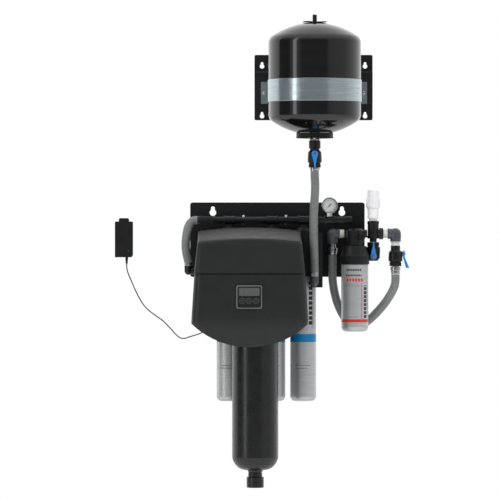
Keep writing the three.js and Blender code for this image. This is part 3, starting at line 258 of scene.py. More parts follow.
def moulded(name, color, rough, grain_mm=0.5, depth_mm=0.05, coat=0.0, **values):
    """Moulded plastic: a fine grain, cloudy colour, and gloss that varies with handling."""
    t = Look(name, coat_weight=coat, coat_roughness=0.15, **values)
    return t.finish(
        base_color=t.mix(t.cloud(14, 4, 0, 1), rgb(color, 0.86), rgb(color, 1.14)),
        roughness=t.cloud(38, 5, rough - 0.06, rough + 0.06),
        normal=t.bump(t.noise(t.place, 1 / (grain_mm * MM), 2), depth_mm),
    )


def powder_coat(name, color, rough):
    """Powder-coated steel: orange peel, rubbed edges and a little dust that lies on top."""
    t = Look(name, specular_ior_level=0.35)
    rub = t.ramp(t.add("NewGeometry")["Pointiness"], [(0.50, (0, 0, 0)), (0.60, (1, 1, 1))])
    dusty = t.mix(t.cloud(22, 6, 0, 0.35), rgb(color), rgb(color, 1.9))
    return t.finish(
        base_color=t.mix(rub, dusty, rgb(color, 2.6)),
        roughness=t.cloud(60, 4, rough - 0.07, rough + 0.07),
        normal=t.bump(t.noise(t.place, 520, 2), 0.09),
    )


def gloss_paint():
    """Stoved black gloss: nearly a mirror, with long shallow ripples and faint wipe marks."""
    t = Look("tank_gloss", coat_weight=0.5, coat_roughness=0.03)
    wipe = t.noise(t.place, 9, 5, stretch=(1, 1, 5))
    return t.finish(
        base_color=t.mix(t.spread(wipe, 0, 1), (0.0035, 0.0036, 0.0038, 1), (0.006, 0.006, 0.006, 1)),
        roughness=t.spread(wipe, 0.06, 0.15),
        normal=t.bump(t.noise(t.place, 26, 1), 0.35, 0.22),
    )


def metal(name, color, rough):
    """Drawn or machined metal, streaked along its working direction."""
    t = Look(name, metallic=1.0)
    lines = t.noise(t.place, 60, 6, stretch=(1, 1, 30))
    return t.finish(
        base_color=t.mix(t.spread(lines, 0, 1), rgb(color, 0.8), rgb(color, 1.08)),
        roughness=t.spread(lines, rough - 0.08, rough + 0.1),
        normal=t.bump(lines, 0.02),
    )


def galvanised():
    """Zinc-plated sheet: bluish, with rolling streaks along the strap and a faint spangle."""
    t = Look("galvanised", metallic=0.85)
    lines = t.noise(t.place, 12, 5, stretch=(1, 1, 90))
    spangle = t.add("TexVoronoi", {"Vector": t.place, "Scale": 160.0})["Color"]
    tone = t.mix(t.spread(lines, 0, 1), (0.40, 0.49, 0.53, 1), (0.62, 0.70, 0.73, 1))
    return t.finish(
        base_color=t.mix(0.04, tone, spangle), roughness=t.cloud(30, 4, 0.13, 0.24),
        normal=t.bump(lines, 0.015),
    )


def braid():
    """Reinforced hose: clear grey PVC over two crossed sets of yarn."""
    t = Look("braided_hose", coat_weight=0.6, coat_roughness=0.12)
    around, along, _ = t.split(t.add("UVMap", uv_map="wrap")["UV"])
    yarns = []
    for slant in (1, -1):
        phase = t.math("MULTIPLY_ADD", along, slant * 620.0, t.math("MULTIPLY", around, 8.0))
        yarns.append(t.math("POWER", t.math("ABSOLUTE", t.math("SINE", phase)), 6.0))
    weave = t.math("MAXIMUM", *yarns)
    plain = t.mix(t.cloud(30, 4, 0.75, 1.2), (0.060, 0.066, 0.068, 1), (0.135, 0.145, 0.145, 1))
    ribbing = t.math("ABSOLUTE", t.math("SINE", t.math("MULTIPLY", around, 9.0)))
    height = t.math("ADD", weave, t.math("MULTIPLY", ribbing, 0.8))
    return t.finish(
        base_color=t.mix(t.math("MULTIPLY", weave, 0.55), plain, (0.30, 0.31, 0.31, 1)),
        roughness=t.cloud(90, 3, 0.22, 0.38), normal=t.bump(height, 0.25, 0.5),
    )


def inside(t, value, low, high):
    """1 between two limits, 0 outside them."""
    return t.math("MULTIPLY", t.math("GREATER_THAN", value, low), t.math("LESS_THAN", value, high))


def dashes(t, value, pitch, share=0.72):
    """1 on the dashes of a line of generic blocks, 0 between them."""
    return t.math("LESS_THAN", t.math("FRACT", t.math("DIVIDE", value, pitch)), share)


def printed_can(name, radius, prints, bands):
    """A brushed silver can with generic printed bars. Prints are (box, color, dash pitch and
    direction or None) and bands are (bottom, top, color), in millimetres round and up the can."""
    t = Look(name)
    around, height, _ = t.split(t.add("UVMap", uv_map="wrap")["UV"])
    u = t.math("MULTIPLY", around, radius * MM)
    lines = t.noise(t.place, 14, 6, stretch=(1, 1, 70))
    color = t.mix(t.spread(lines, 0, 1), (0.50, 0.51, 0.52, 1), (0.66, 0.67, 0.68, 1))
    marks = []
    for (left, right, bottom, top), ink, dash in prints:
        within = inside(t, u, left * MM, right * MM), inside(t, height, bottom * MM, top * MM)
        mask = t.math("MULTIPLY", *within)
        if dash:
            pitch, upright = dash
            mask = t.math("MULTIPLY", mask, dashes(t, height if upright else u, pitch * MM))
        marks.append((mask, ink))
    marks += [(inside(t, height, bottom * MM, top * MM), ink) for bottom, top, ink in bands]
    printed = 0.0
    for mask, ink in marks:
        color = t.mix(mask, color, rgb(ink))
        printed = t.math("MAXIMUM", printed, mask)
    return t.finish(
        base_color=color, metallic=t.math("MULTIPLY_ADD", printed, -0.62, 0.62),
        roughness=t.spread(lines, 0.30, 0.44), normal=t.bump(lines, 0.03),
    )


def clear_plastic():
    """Milky translucent polypropylene."""
    t = Look("clear_white", coat_weight=0.4, coat_roughness=0.1)
    return t.finish(
        base_color=t.mix(t.cloud(55, 4, 0, 1), (0.86, 0.86, 0.88, 1), (0.96, 0.96, 0.97, 1)),
        roughness=t.cloud(120, 3, 0.22, 0.36), normal=t.bump(t.noise(t.place, 160, 2), 0.02),
    )


def glass():
    t = Look("lens_glass", alpha=0.10, base_color=(0.98, 0.99, 1, 1))
    return t.finish(roughness=t.cloud(160, 4, 0.01, 0.05))


def lcd():
    """A grey liquid crystal panel with faint rows of unlit cells."""
    t = Look("lcd", coat_weight=0.8, coat_roughness=0.08)
    _, _, z = t.split(t.place)
    rows = t.math("ABSOLUTE", t.math("SINE", t.math("MULTIPLY", z, math.pi / (1.6 * MM))))
    tone = t.mix(t.math("MULTIPLY", rows, 0.35), (0.085, 0.090, 0.090, 1), (0.110, 0.116, 0.116, 1))
    return t.finish(base_color=tone, roughness=t.cloud(90, 3, 0.25, 0.4))


def circuit():
    """Green solder mask with copper tracks and pale pads."""
    t = Look("circuit_board", coat_weight=0.5, coat_roughness=0.1)
    upright = t.add("Mapping", {"Vector": t.place, "Rotation": (math.radians(90), 0, 0)})["Vector"]
    tracks = t.add("TexBrick", {
        "Vector": upright, "Scale": 120.0, "Color1": (0.010, 0.085, 0.035, 1),
        "Color2": (0.014, 0.11, 0.045, 1), "Mortar": (0.20, 0.26, 0.10, 1), "Mortar Size": 0.012,
    })["Color"]
    return t.finish(base_color=tracks, roughness=t.cloud(80, 3, 0.3, 0.45))


# ---------- Shapes ----------


def soften(points, radius, steps=3, closed=False):
    """Rounds the corners of an outline or profile."""
    count = len(points)
    result = []
    for i, point in enumerate(points):
        if not closed and i in (0, count - 1):
            result.append(tuple(point))
            continue
        here = Vector(point)
        before, after = Vector(points[i - 1]) - here, Vector(points[(i + 1) % count]) - here
        reach = min(radius, before.length * 0.45, after.length * 0.45)
        if reach < 1e-6:
            result.append(tuple(point))
            continue
        start, end = here + before.normalized() * reach, here + after.normalized() * reach
        for k in range(steps + 1):
            s = k / steps
            result.append(tuple(start * (1 - s) ** 2 + here * 2 * s * (1 - s) + end * s * s))
    return result


def threads(radius, start, end, pitch, depth):
    """The zigzag of a screw thread, as part of a turned profile."""
    count = max(2, round(abs(end - start) / pitch))
    points = []
    for i in range(count):
        for share, drop in ((0.0, depth), (0.35, 0), (0.65, 0)):
            points.append((radius - drop, start + (end - start) * (i + share) / count))
    return [*points, (radius - depth, end)]


class Shape:
    """A mesh under construction, in the CAD's frame."""

    def __init__(self):
        self.bm = bmesh.new()
        self.uv = self.bm.loops.layers.uv.new("wrap")

    def turned(self, profile, base, axis=UP, segments=64, ribs=None):
        """Turns (radius, height) pairs round an axis. Ribs are (count, depth, bottom, top), in mm."""
        turn = UP.rotation_difference(axis).to_matrix().to_4x4()
        place = Matrix.Translation(base) @ turn
        closed = profile[0] == profile[-1]
        rings = []
        for radius, height in profile[: -1 if closed else None]:
            ring = []
            for i in range(segments if radius > 1e-7 else 1):
                a = 2 * math.pi * i / segments - math.pi
                r = radius
                if ribs and ribs[2] * MM <= height <= ribs[3] * MM:
                    r -= ribs[1] * MM * (0.5 - 0.5 * math.cos(a * ribs[0])) ** 2
                ring.append(self.bm.verts.new(place @ Vector((r * math.sin(a), -r * math.cos(a), height))))
            rings.append((ring, height))
        pairs = list(zip(rings, rings[1:])) + ([(rings[-1], rings[0])] if closed else [])
        for (low, low_h), (high, high_h) in pairs:
            self.band(low, low_h, high, high_h, segments)
        return self

    def lathe(self, pairs, soft, base, axis=UP, segments=64, ribs=None):
        """Turns a profile in millimetres with its corners rounded."""
        return self.turned(soften(mm(*pairs), soft * MM), base, axis, segments, ribs)

    def taped(self, radius, low, high, pitch, depth, base, axis=UP):
        """Thread tape from low to high along an axis, all in millimetres."""
        zigzag = threads(radius * MM, low * MM, high * MM, pitch * MM, depth * MM)
        return self.turned([(0, low * MM), *zigzag, (0, high * MM)], base, axis, 48)

    def ball(self, radius, base, steps):
        """The round corner of an elbow."""
        arc = (math.pi * i / steps for i in range(steps + 1))
        return self.turned([(radius * MM * math.sin(a), -radius * MM * math.cos(a)) for a in arc], base)

    def band(self, low, low_h, high, high_h, segments):
        for i in range(segments):
            j = i + 1
            corners = [(low, i, low_h), (low, j, low_h), (high, j, high_h), (high, i, high_h)]
            seen, used = [], []
            for ring, k, h in corners:
                vertex = ring[k % len(ring)]
                if vertex not in seen:
                    seen.append(vertex)
                    used.append((2 * math.pi * k / segments - math.pi, h))
            if len(seen) > 2:
                face = self.bm.faces.new(seen)
                for loop, uv in zip(face.loops, used):
                    loop[self.uv].uv = uv

    def prism(self, outline, matrix, thickness, edge=0.6 * MM, steps=2):
        """Pulls an outline drawn in a matrix's XY plane along its Z, and rounds both rims."""
        bm = bmesh.new()
        bm.faces.new([bm.verts.new((x, y, 0)) for x, y in outline])
        made = bmesh.ops.extrude_face_region(bm, geom=bm.faces[:])
        moved = [v for v in made["geom"] if isinstance(v, bmesh.types.BMVert)]
        bmesh.ops.translate(bm, verts=moved, vec=(0, 0, thickness))
        bmesh.ops.recalc_face_normals(bm, faces=bm.faces)
        flat = [e for e in bm.edges if abs(e.verts[0].co.z - e.verts[1].co.z) < 1e-9]
        if edge:
            bmesh.ops.bevel(bm, geom=flat, offset=edge, segments=steps, affect="EDGES", profile=0.5)
        bm.transform(matrix)
        return self.take(bm)

    def block(self, low, high, edge=1 * MM, steps=2):
        """A block with rounded edges between two corners."""
        bm = bmesh.new()
        bmesh.ops.create_cube(bm, size=1)
        size, middle = Vector(high) - Vector(low), (Vector(high) + Vector(low)) / 2
        bm.transform(Matrix.Translation(middle) @ Matrix.Diagonal((*size, 1)))
        bmesh.ops.bevel(bm, geom=bm.edges[:], offset=edge, segments=steps, affect="EDGES", profile=0.5)
        return self.take(bm)

    def skin(self, rows, closed=False):
        """Joins rows of points, each as long as the last, into a surface."""
        made = [[self.bm.verts.new(p) for p in row] for row in rows]
        count = len(made[0])
        for low, high in zip(made, made[1:]):
            for i in range(count if closed else count - 1):
                j = (i + 1) % count
                corners = list(dict.fromkeys((low[i], low[j], high[j], high[i])))
                self.bm.faces.new(corners)
        return made

    def loft(self, rows):
        """Joins closed rows and caps both ends."""
        made = self.skin(rows, closed=True)
        for row in (made[0], made[-1]):
            self.bm.faces.new(row)
        return self

    def sweep(self, path, radius, sides):
        """A round tube along close points, with "wrap" holding the angle and the way along."""
        count = len(path)
        tangents = [(path[min(i + 1, count - 1)] - path[max(i - 1, 0)]).normalized() for i in range(count)]
        side = tangents[0].cross(RIGHT if abs(tangents[0].x) < 0.9 else UP).normalized()
        way, rings = 0.0, []
        for i, (point, tangent) in enumerate(zip(path, tangents)):
            if i:
                side = (tangents[i - 1].rotation_difference(tangent)) @ side
                way += (point - path[i - 1]).length
            across = tangent.cross(side)
            ring = [
                self.bm.verts.new(point + radius * (math.cos(a) * side + math.sin(a) * across))
                for a in (2 * math.pi * k / sides for k in range(sides))
            ]
            rings.append((ring, way))
        for (low, low_way), (high, high_way) in zip(rings, rings[1:]):
            self.band(low, low_way, high, high_way, sides)
        for ring, _ in (rings[0], rings[-1]):
            self.bm.faces.new(ring)
        return self

    def take(self, other):
        """Adds another bmesh's faces to this one."""
        mesh = bpy.data.meshes.new("part")
        other.to_mesh(mesh)
        other.free()
        self.bm.from_mesh(mesh)
        bpy.data.meshes.remove(mesh)
        return self

    def make(self, name, look, body="frame", slot=None, replaced=None, sharp=38, weld=False):
        """Turns the shape into a piece on a body and hides the CAD node it replaces. The slot argument is not
        used."""
        if weld:
            bmesh.ops.remove_doubles(self.bm, verts=self.bm.verts, dist=0.02 * MM)
        bmesh.ops.recalc_face_normals(self.bm, faces=self.bm.faces)
        limit = math.radians(sharp)
        for edge in self.bm.edges:
            edge.smooth = edge.calc_face_angle(0) < limit
        for face in self.bm.faces:
            face.smooth = True
        mesh = bpy.data.meshes.new(name)
        self.bm.to_mesh(mesh)
        self.bm.free()
        mesh.materials.append(look)
        piece = bpy.data.objects.new(name, mesh)
        bpy.context.scene.collection.objects.link(piece)
        weighted = piece.modifiers.new("normals", "WEIGHTED_NORMAL")
        weighted.keep_sharp = True
        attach(piece, body)
        if slot or replaced:
            slot or look.name.partition(".")[0]
        if replaced:
            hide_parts(replaced)
        return piece


def wall_matrix(origin):
    """Draws X to the right and Y up on the wall, with Z out to the front."""
    return Matrix.Translation(origin) @ Matrix((
        (1, 0, 0, 0), (0, 0, -1, 0), (0, 1, 0, 0), (0, 0, 0, 1),
    ))


def screw(shape, place, axis, radius, height, segments=32):
    """A pan head screw with a washer under it."""
    shape.turned(soften([
        (0, 0), (radius * 1.5, 0), (radius * 1.5, height * 0.3), (radius, height * 0.3),
        (radius, height * 0.75), (radius * 0.6, height), (0, height),
    ], 0.4 * MM), place, axis, segments)


# ---------- Looks ----------

make_camera()

black_steel = powder_coat("black_steel", (0.0042, 0.0044, 0.0050), 0.46)
tank_paint = gloss_paint()
black_plastic = moulded("black_plastic", (0.0062, 0.0064, 0.0070), 0.40, coat=0.15, specular_ior_level=0.4)
housing_black = moulded("housing_black", (0.0042, 0.0046, 0.0055), 0.30, 0.8, 0.012, 0.3)
cowl_plastic = moulded("cowl_plastic", (0.0125, 0.0132, 0.0134), 0.40, grain_mm=0.9, depth_mm=0.08)
bezel_plastic = moulded("bezel_plastic", (0.0065, 0.0070, 0.0076), 0.40, grain_mm=0.7)
grey_plastic = moulded("grey_plastic", (0.060, 0.068, 0.076), 0.36, coat=0.3)
button_grey = moulded("button_grey", (0.022, 0.024, 0.025), 0.42, grain_mm=0.4)
rim_grey = moulded("rim_grey", (0.105, 0.112, 0.118), 0.38, grain_mm=0.4)
lever_blue = moulded("lever_blue", (0.006, 0.235, 0.66), 0.38, coat=0.3)
tag_card = moulded("tag_card", (0.16, 0.055, 0.038), 0.6, grain_mm=0.8)
adapter_black = moulded("adapter_black", (0.006, 0.0062, 0.007), 0.38, grain_mm=0.8)
cord_dark = moulded("cord_dark", (0.045, 0.028, 0.024), 0.45, grain_mm=0.6)
membrane_white = moulded("membrane_white", (0.70, 0.71, 0.70), 0.6)
rubber = moulded("black_rubber", (0.012, 0.012, 0.012), 0.7)
zinc = galvanised()
steel = metal("bright_steel", (0.66, 0.67, 0.68), 0.22)
copper = metal("copper_screw", (0.62, 0.27, 0.13), 0.32)
white_paint = moulded("white_screw", (0.62, 0.63, 0.63), 0.4)
dial_white = moulded("gauge_dial", (0.74, 0.75, 0.74), 0.5)
ink = moulded("ink", (0.012, 0.012, 0.014), 0.5)
red = moulded("needle_red", (0.50, 0.02, 0.015), 0.4)
tape = moulded("thread_tape", (0.72, 0.72, 0.70), 0.5, grain_mm=1.2, depth_mm=0.12)
milky = clear_plastic()
lens = glass()
screen = lcd()
green_board = circuit()
hose_grey = braid()
led_green = moulded("led_green", (0.05, 0.42, 0.10), 0.25)


# ---------- Hoses and the adapter's lead ----------


def smooth_route(points, steps=6):
    """A centripetal Catmull-Rom curve through the points."""
    ends = [points[0] * 2 - points[1], *points, points[-1] * 2 - points[-2]]
    path = []
    for a, b, c, d in zip(ends, ends[1:], ends[2:], ends[3:]):
        t1 = (b - a).length ** 0.5
        t2 = t1 + (c - b).length ** 0.5
        t3 = t2 + (d - c).length ** 0.5
        for k in range(steps):
            t = t1 + (t2 - t1) * k / steps
            ab = a.lerp(b, t / t1)
            bc = b.lerp(c, (t - t1) / (t2 - t1))
            cd = c.lerp(d, (t - t2) / (t3 - t2))
            path.append(ab.lerp(bc, t / t2).lerp(bc.lerp(cd, (t - t1) / (t3 - t1)), (t - t1) / (t2 - t1)))
    return [*path, points[-1].copy()]


def lay_cord(name, route, diameter, look, sides):
    path = smooth_route([at(*p) for p in route])
    piece = Shape().sweep(path, diameter / 2, sides).make(name + "_tube", look, replaced=name, sharp=60)
    path[0]


HOSE_DIAMETER = 26 * MM
LEAD_DIAMETER = 3.5 * MM
TANK_HOSE_LENGTH = 0.319
LOOP_HOSE_LENGTH = 0.455
FEED_HOSE_LENGTH = 0.161

TANK_HOSE = [
    (111.3, 150, 117.5), (111.3, 150, 104), (112.6, 149, 80), (112.2, 147, 55), (110.4, 144, 25),
    (108.8, 140, -5), (108.3, 136, -40), (108.8, 132, -80), (110, 129.4, -120), (110.8, 128.2, -155),
    (111, 128, -180), (111, 128, -200),
]
LOOP_HOSE = [
    (166.5, 60, -132.9), (166.5, 60, -150), (166.3, 59, -175), (166.9, 57, -205), (171.5, 53, -240),
    (182, 47, -280), (198, 41, -314), (216, 37, -338), (237, 36, -350), (259, 36.5, -345),
    (283, 40, -327), (306, 45, -304), (328, 50, -277), (345, 54, -250), (355, 57.5, -228),
    (357.7, 60, -210), (357.7, 60, -194.3),
]
FEED_HOSE = [
    (-243.3, 58, -28.5), (-248, 58, -28.5), (-256, 59, -30.5), (-264.5, 61.5, -37),
    (-271, 65.5, -49), (-275.5, 71, -67), (-278, 78, -89), (-278.3, 84, -111), (-275.5, 88, -132),
    (-271.3, 89.8, -149), (-269.5, 90, -158), (-269.5, 90, -166.3),
]
LEAD = [
    (-206.3, 94, -363), (-215, 94, -363), (-227, 94, -368), (-240, 93.3, -373.5),
    (-254, 91.5, -378), (-267.5, 89, -382), (-281, 86, -386.5), (-295, 82.5, -385),
    (-308.5, 79, -374.5), (-320.5, 76, -361), (-333.5, 73, -347.5), (-347, 69, -334),
    (-366, 64, -320.5), (-383.5, 59, -308), (-396.5, 55, -297), (-408.5, 51, -283),
    (-421.5, 46, -262), (-432, 42, -241), (-440.5, 39, -222), (-448.2, 36, -204),
    (-454.8, 34, -188), (-458.5, 33, -172), (-458.6, 33, -162),
]


def keep(name, look, bevel=0.7 * MM):
    """A CAD node whose shape is right keeps it, with softened edges and a finished look."""
    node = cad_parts[name]
    node.material_slots[0].material = look
    if bevel:
        softened = node.modifiers.new("edges", "BEVEL")
        softened.width = bevel
        softened.segments = 2
        softened.limit_method = "ANGLE"
        softened.angle_limit = math.radians(40)
    return node


for hose, route, hose_length in (
    ("tank_hose", TANK_HOSE, TANK_HOSE_LENGTH),
    ("loop_hose", LOOP_HOSE, LOOP_HOSE_LENGTH),
    ("feed_hose", FEED_HOSE, FEED_HOSE_LENGTH),
):
    lay_cord(hose, route, HOSE_DIAMETER, hose_grey, 48)


def make_boot_ribs():
    shape = Shape()
    for i in range(4):
        z, radius = -144.5 - 4.4 * i, 4.7 - 0.4 * i
        rib = (0, z - 1.3), (radius, z - 1.3), (radius, z + 1.3), (0, z + 1.3)
        shape.lathe(rib, 0.5, at(-458.6, 33, 0), UP, 32)
    return shape.make("adapter_boot_ribs", adapter_black)


adapter = keep("power_adapter", adapter_black, 1.6 * MM)
boot_ribs = make_boot_ribs()
lamp = Shape().lathe(
    ((0, 0), (2.1, 0), (2.1, 0.5), (0, 0.9)), 0.3, at(-452.8, 49.4 - 0.6, -122), FRONT, 24,
).make("adapter_lamp", led_green)
lay_cord("power_cord", LEAD, LEAD_DIAMETER, cord_dark, 16)
make_world()
make_light("key", Vector((-2.2, -3.2, 2.4)), (1.8, 1.8), 78)
make_light("fill", Vector((2.8, -3.0, 0.8)), (1.6, 2.4), 44)
make_floor()


# ---------- Plates and brackets ----------

keep("backplate", black_steel)
keep("tank_bracket", black_steel)
keep("ro_bracket", black_steel)
keep("membrane_element", membrane_white, 0)
keep("tank_diaphragm", rubber, 0)
for place in CARTRIDGES:
    keep("rotor_" + place, grey_plastic, 0.3 * MM)
keep("blend_rotor", grey_plastic, 0.3 * MM)
keep("blend_head", black_plastic, 1.2 * MM)


# ---------- Manifold ----------


def turned_piece(name, pairs, base, look, replaced, axis=UP, ribs=None, segments=64, soft=0.8):
    """A piece of the frame that is one turned profile."""
    Shape().lathe(pairs, soft, base, axis, segments, ribs).make(name, look, replaced=replaced)


def make_manifold():
    shape = Shape().lathe((
        (0, -187.7), (10.5, -187.7), (10.5, 206), (12, 206), (12, 226), (0, 226),
    ), 0.8, PIPE_AXIS, RIGHT, 48)
    for x in (*CARTRIDGES.values(), 158):
        shape.lathe((
            (0, x - 17), (12.7, x - 17), (13.5, x - 15.5), (13.5, x - 11), (12.5, x - 10), (12.5, x + 10),
            (13.5, x + 11), (13.5, x + 15.5), (12.7, x + 17), (0, x + 17),
        ), 0.5, PIPE_AXIS, RIGHT, 48)
    for x in CLIPS:
        shape.lathe(((0, -46), (6, -46), (6, -12), (0, -12)), 0.8, at(x, 58, 0), UP, 32)
    return shape.make("manifold_pipe", black_plastic, replaced="manifold")


make_manifold()
clip_screws = Shape()
for x in CLIPS:
    screw(clip_screws, at(x, 63.6, -16.5), FRONT, 2.6 * MM, 2.4 * MM)
clip_screws.make("clip_screws", white_paint)
turned_piece("coupling_body", (
    (0, -243), (11.4, -243), (12, -241), (12, -237), (13.2, -236), (13.2, -230), (12, -229), (12, -202),
    (13.2, -201), (13.2, -195), (12, -194), (12, -188), (0, -188),
), PIPE_AXIS, black_plastic, replaced="manifold_coupling", axis=RIGHT,
    ribs=(24, 0.7, -236, -195), soft=0.4, segments=192)


def make_head(name, x):
    shape = Shape()
    top, bottom = -53.6, -99.4
    shape.lathe((
        (20, bottom), (24.6, bottom), (26, bottom + 2), (26, -62), (24, -55), (20, -50.5), (10, -48.5),
        (10, -42.3), (0, -42.3), (0, top), (20, top), (20, bottom),
    ), 0.8, at(x, 58, 0), UP, 96)
    shape.block(at(x - 14, 2.8, -99.4), at(x + 14, 36, -65.4), 1.2 * MM)
    return shape.make(name + "_shell", black_plastic, replaced=name)


# ---------- Cartridges ----------

DARK = (0.020, 0.022, 0.026)
BLUE_INK = (0.0, 0.20, 0.48)
RED_INK = (0.60, 0.035, 0.02)
GREY_INK = (0.14, 0.15, 0.16)

PREFILTER_PRINTS = [
    ((17, 31, -345, -215), DARK, (15, True)),
    ((11, 12.2, -365, -215), GREY_INK, None),
    ((-22, -19, -340, -230), GREY_INK, (4, True)),
    ((-24, 24, -470, -467), GREY_INK, (6, False)),
    ((-24, 14, -478, -475.5), GREY_INK, (5, False)),
]
PREFILTER_BANDS = [(-397.6, -373.3, BLUE_INK)]
BLEND_PRINTS = [
    ((-30, 20, -182, -176), DARK, (7, False)),
    ((-30, 20, -198, -193), DARK, (6, False)),
    ((-30, 26, -214, -205), RED_INK, (9, False)),
    ((19, 21, -325, -219), RED_INK, None),
    ((29, 41, -325, -226), DARK, (12, True)),
    ((-30, 10, -222.5, -221), GREY_INK, (4, False)),
    ((-30, 16, -228, -226.5), GREY_INK, (5, False)),
    ((-30, 6, -322, -320.5), GREY_INK, (4, False)),
]
BLEND_BANDS = [(-337, -328, RED_INK)]
prefilter_can = printed_can("prefilter_can", 39.6, PREFILTER_PRINTS, PREFILTER_BANDS)
blend_can = printed_can("blend_can", 41, BLEND_PRINTS, BLEND_BANDS)


def make_cartridge(name, x, depth, can, cap, levels, look):
    cap_top, shoulder, cap_bottom, bottom = levels
    base = at(x, depth, 0)
    body = soften(mm(
        (0, bottom), (can - 12, bottom), (can - 5, bottom + 3), (can, bottom + 12), (can, cap_bottom + 0.4),
        (can - 3, cap_bottom + 2), (0, cap_bottom + 2),
    ), 3 * MM, 5)
    Shape().turned(body, base, UP, 96).make(name + "_can", look, name, "cartridge_shell", name)
    Shape().lathe((
        (0, cap_bottom + 1), (cap - 1, cap_bottom + 1), (cap, cap_bottom + 2.5), (cap, shoulder - 2),
        (cap - 2, shoulder), (cap - 9, cap_top), (13.5, cap_top), (13.5, cap_top + 36), (0, cap_top + 36),
    ), 1, base, UP, 288, (36, 0.7, cap_bottom + 3, shoulder - 2.5)).make(
        name + "_cap", black_plastic, name, "black_plastic")


for place, x in CARTRIDGES.items():
    make_head("head_" + place, x)
    make_cartridge("cartridge_" + place, x, 58, 39.6, 42, (-100, -122, -155, -577), prefilter_can)
make_cartridge("blend_cartridge", 233.5, 95, 41, 44, (-107, -134, -163.5, -365.5), blend_can)


def make_knob():
    outline = []
    for i in range(96):
        a = 2 * math.pi * i / 96
        r = 9.6 + 0.4 * math.cos(12 * a)
        outline.append((r * MM * math.cos(a), r * MM * math.sin(a)))
    shape = Shape().prism(outline, wall_matrix(at(254.7, 121.3, -80)), 9.4 * MM, 1.4 * MM, 4)
    shape.block(at(253.9, 131.2, -87), at(255.5, 130.2, -73), 0.3 * MM)
    shape.make("blend_dial", black_plastic, "blend_knob", replaced="blend_knob")


make_knob()


# ---------- Gauge ----------


def make_gauge():
    shape = Shape().turned(soften(mm(
        (0, 45), (22.5, 45), (23.5, 48), (23.5, 65.5), (24.5, 67), (24.5, 71.4), (23.4, 72), (21.5, 72),
        (21.5, 62), (0, 62),
    ), 0.7 * MM, 4), GAUGE_AXIS, FRONT, 96)
    shape.lathe(((0, -17.5), (8.9, -17.5), (8.9, -7), (6.5, -6), (6.5, 0), (0, 0)), 0.4,
                at(158, 58, 0), UP, 6)
    shape.make("gauge_body", steel, replaced="gauge_case")
    dial = Shape().turned(mm((0, 61.9), (21.3, 61.9), (21.3, 62.4), (0, 62.4)), GAUGE_AXIS, FRONT, 96)
    dial.make("gauge_face", dial_white)
    marks = Shape()
    for i in range(28):
        a = math.radians(225 - 10 * i)
        long = i % 3 == 0
        inner, outer, half = (13.8 if long else 16.0), 18.6, (0.45 if long else 0.22)
        out = Vector((math.cos(a), math.sin(a)))
        side = Vector((-out.y, out.x))
        outline = [tuple((out * r + side * s) * MM) for r, s in (
            (inner, -half), (outer, -half), (outer, half), (inner, half),
        )]
        marks.prism(outline, wall_matrix(at(158, 62.4, 16.1)), 0.12 * MM, 0)
    # Painted shade: a dark ring on the dial's outer edge, where the deep rim of the case shades the dial. The
    # ticks are print.
    edge = mm((20.3, 62.3), (21.3, 62.3), (21.3, 62.7), (20.3, 62.7), (20.3, 62.3))
    marks.turned(edge, GAUGE_AXIS, FRONT, 96)
    marks.make("gauge_marks_and_painted_shade", ink)
    needle = Shape()
    turn = Matrix.Rotation(math.radians(225), 4, "Z")
    blade = mm((-8, -1.1), (0, -1.1), (11, -0.55), (11, 0.55), (0, 1.1), (-8, 1.1))
    tip = mm((11, -0.5), (16, -0.25), (16, 0.25), (11, 0.5))
    needle.prism(blade, wall_matrix(at(158, 64, 16.1)) @ turn, 0.8 * MM, 0.15 * MM)
    needle.lathe(((0, 64), (2.6, 64), (2.6, 65.1), (0, 65.4)), 0.3, GAUGE_AXIS, FRONT, 32)
    needle.make("gauge_pointer", ink, "gauge_needle", "needle", "gauge_needle")
    Shape().prism(tip, wall_matrix(at(158, 64, 16.1)) @ turn, 0.8 * MM, 0.1 * MM).make(
        "gauge_pointer_tip", red, "gauge_needle")
    Shape().turned(soften(mm((0, 69.4), (21.3, 69.4), (21.3, 70.6), (14, 71), (0, 71.2)), 0.3 * MM, 3),
                   GAUGE_AXIS, FRONT, 96).make("gauge_glass", lens, slot="clear_lens", replaced="gauge_lens")


make_gauge()


# ---------- Elbows, tee and check valve ----------


def make_elbow(name, x, arm_r, drop_r, arm_end, bottom):
    arm, axis = abs(arm_end - x), RIGHT * (1 if arm_end > x else -1)
    corner = at(x, 60, -69.5)
    shape = Shape().lathe((
        (0, 0), (arm_r, 0), (arm_r, arm - 5), (arm_r + 1.2, arm - 4.4), (arm_r + 1.2, arm), (0, arm),
    ), 0.5, corner, axis)
    low = bottom + 69.5
    shape.lathe((
        (0, low), (drop_r, low), (drop_r, low + 3), (drop_r - 0.8, low + 4), (drop_r - 0.8, low + 6),
        (drop_r, low + 7), (drop_r, 0), (0, 0),
    ), 0.4, corner).ball(drop_r, corner, 24).make(name + "_body", grey_plastic, replaced=name)


make_elbow("left_elbow", 166.5, 14.5, 16, 188, -100)
make_elbow("right_elbow", 357.7, 15.4, 17, 334.5, -93.5)


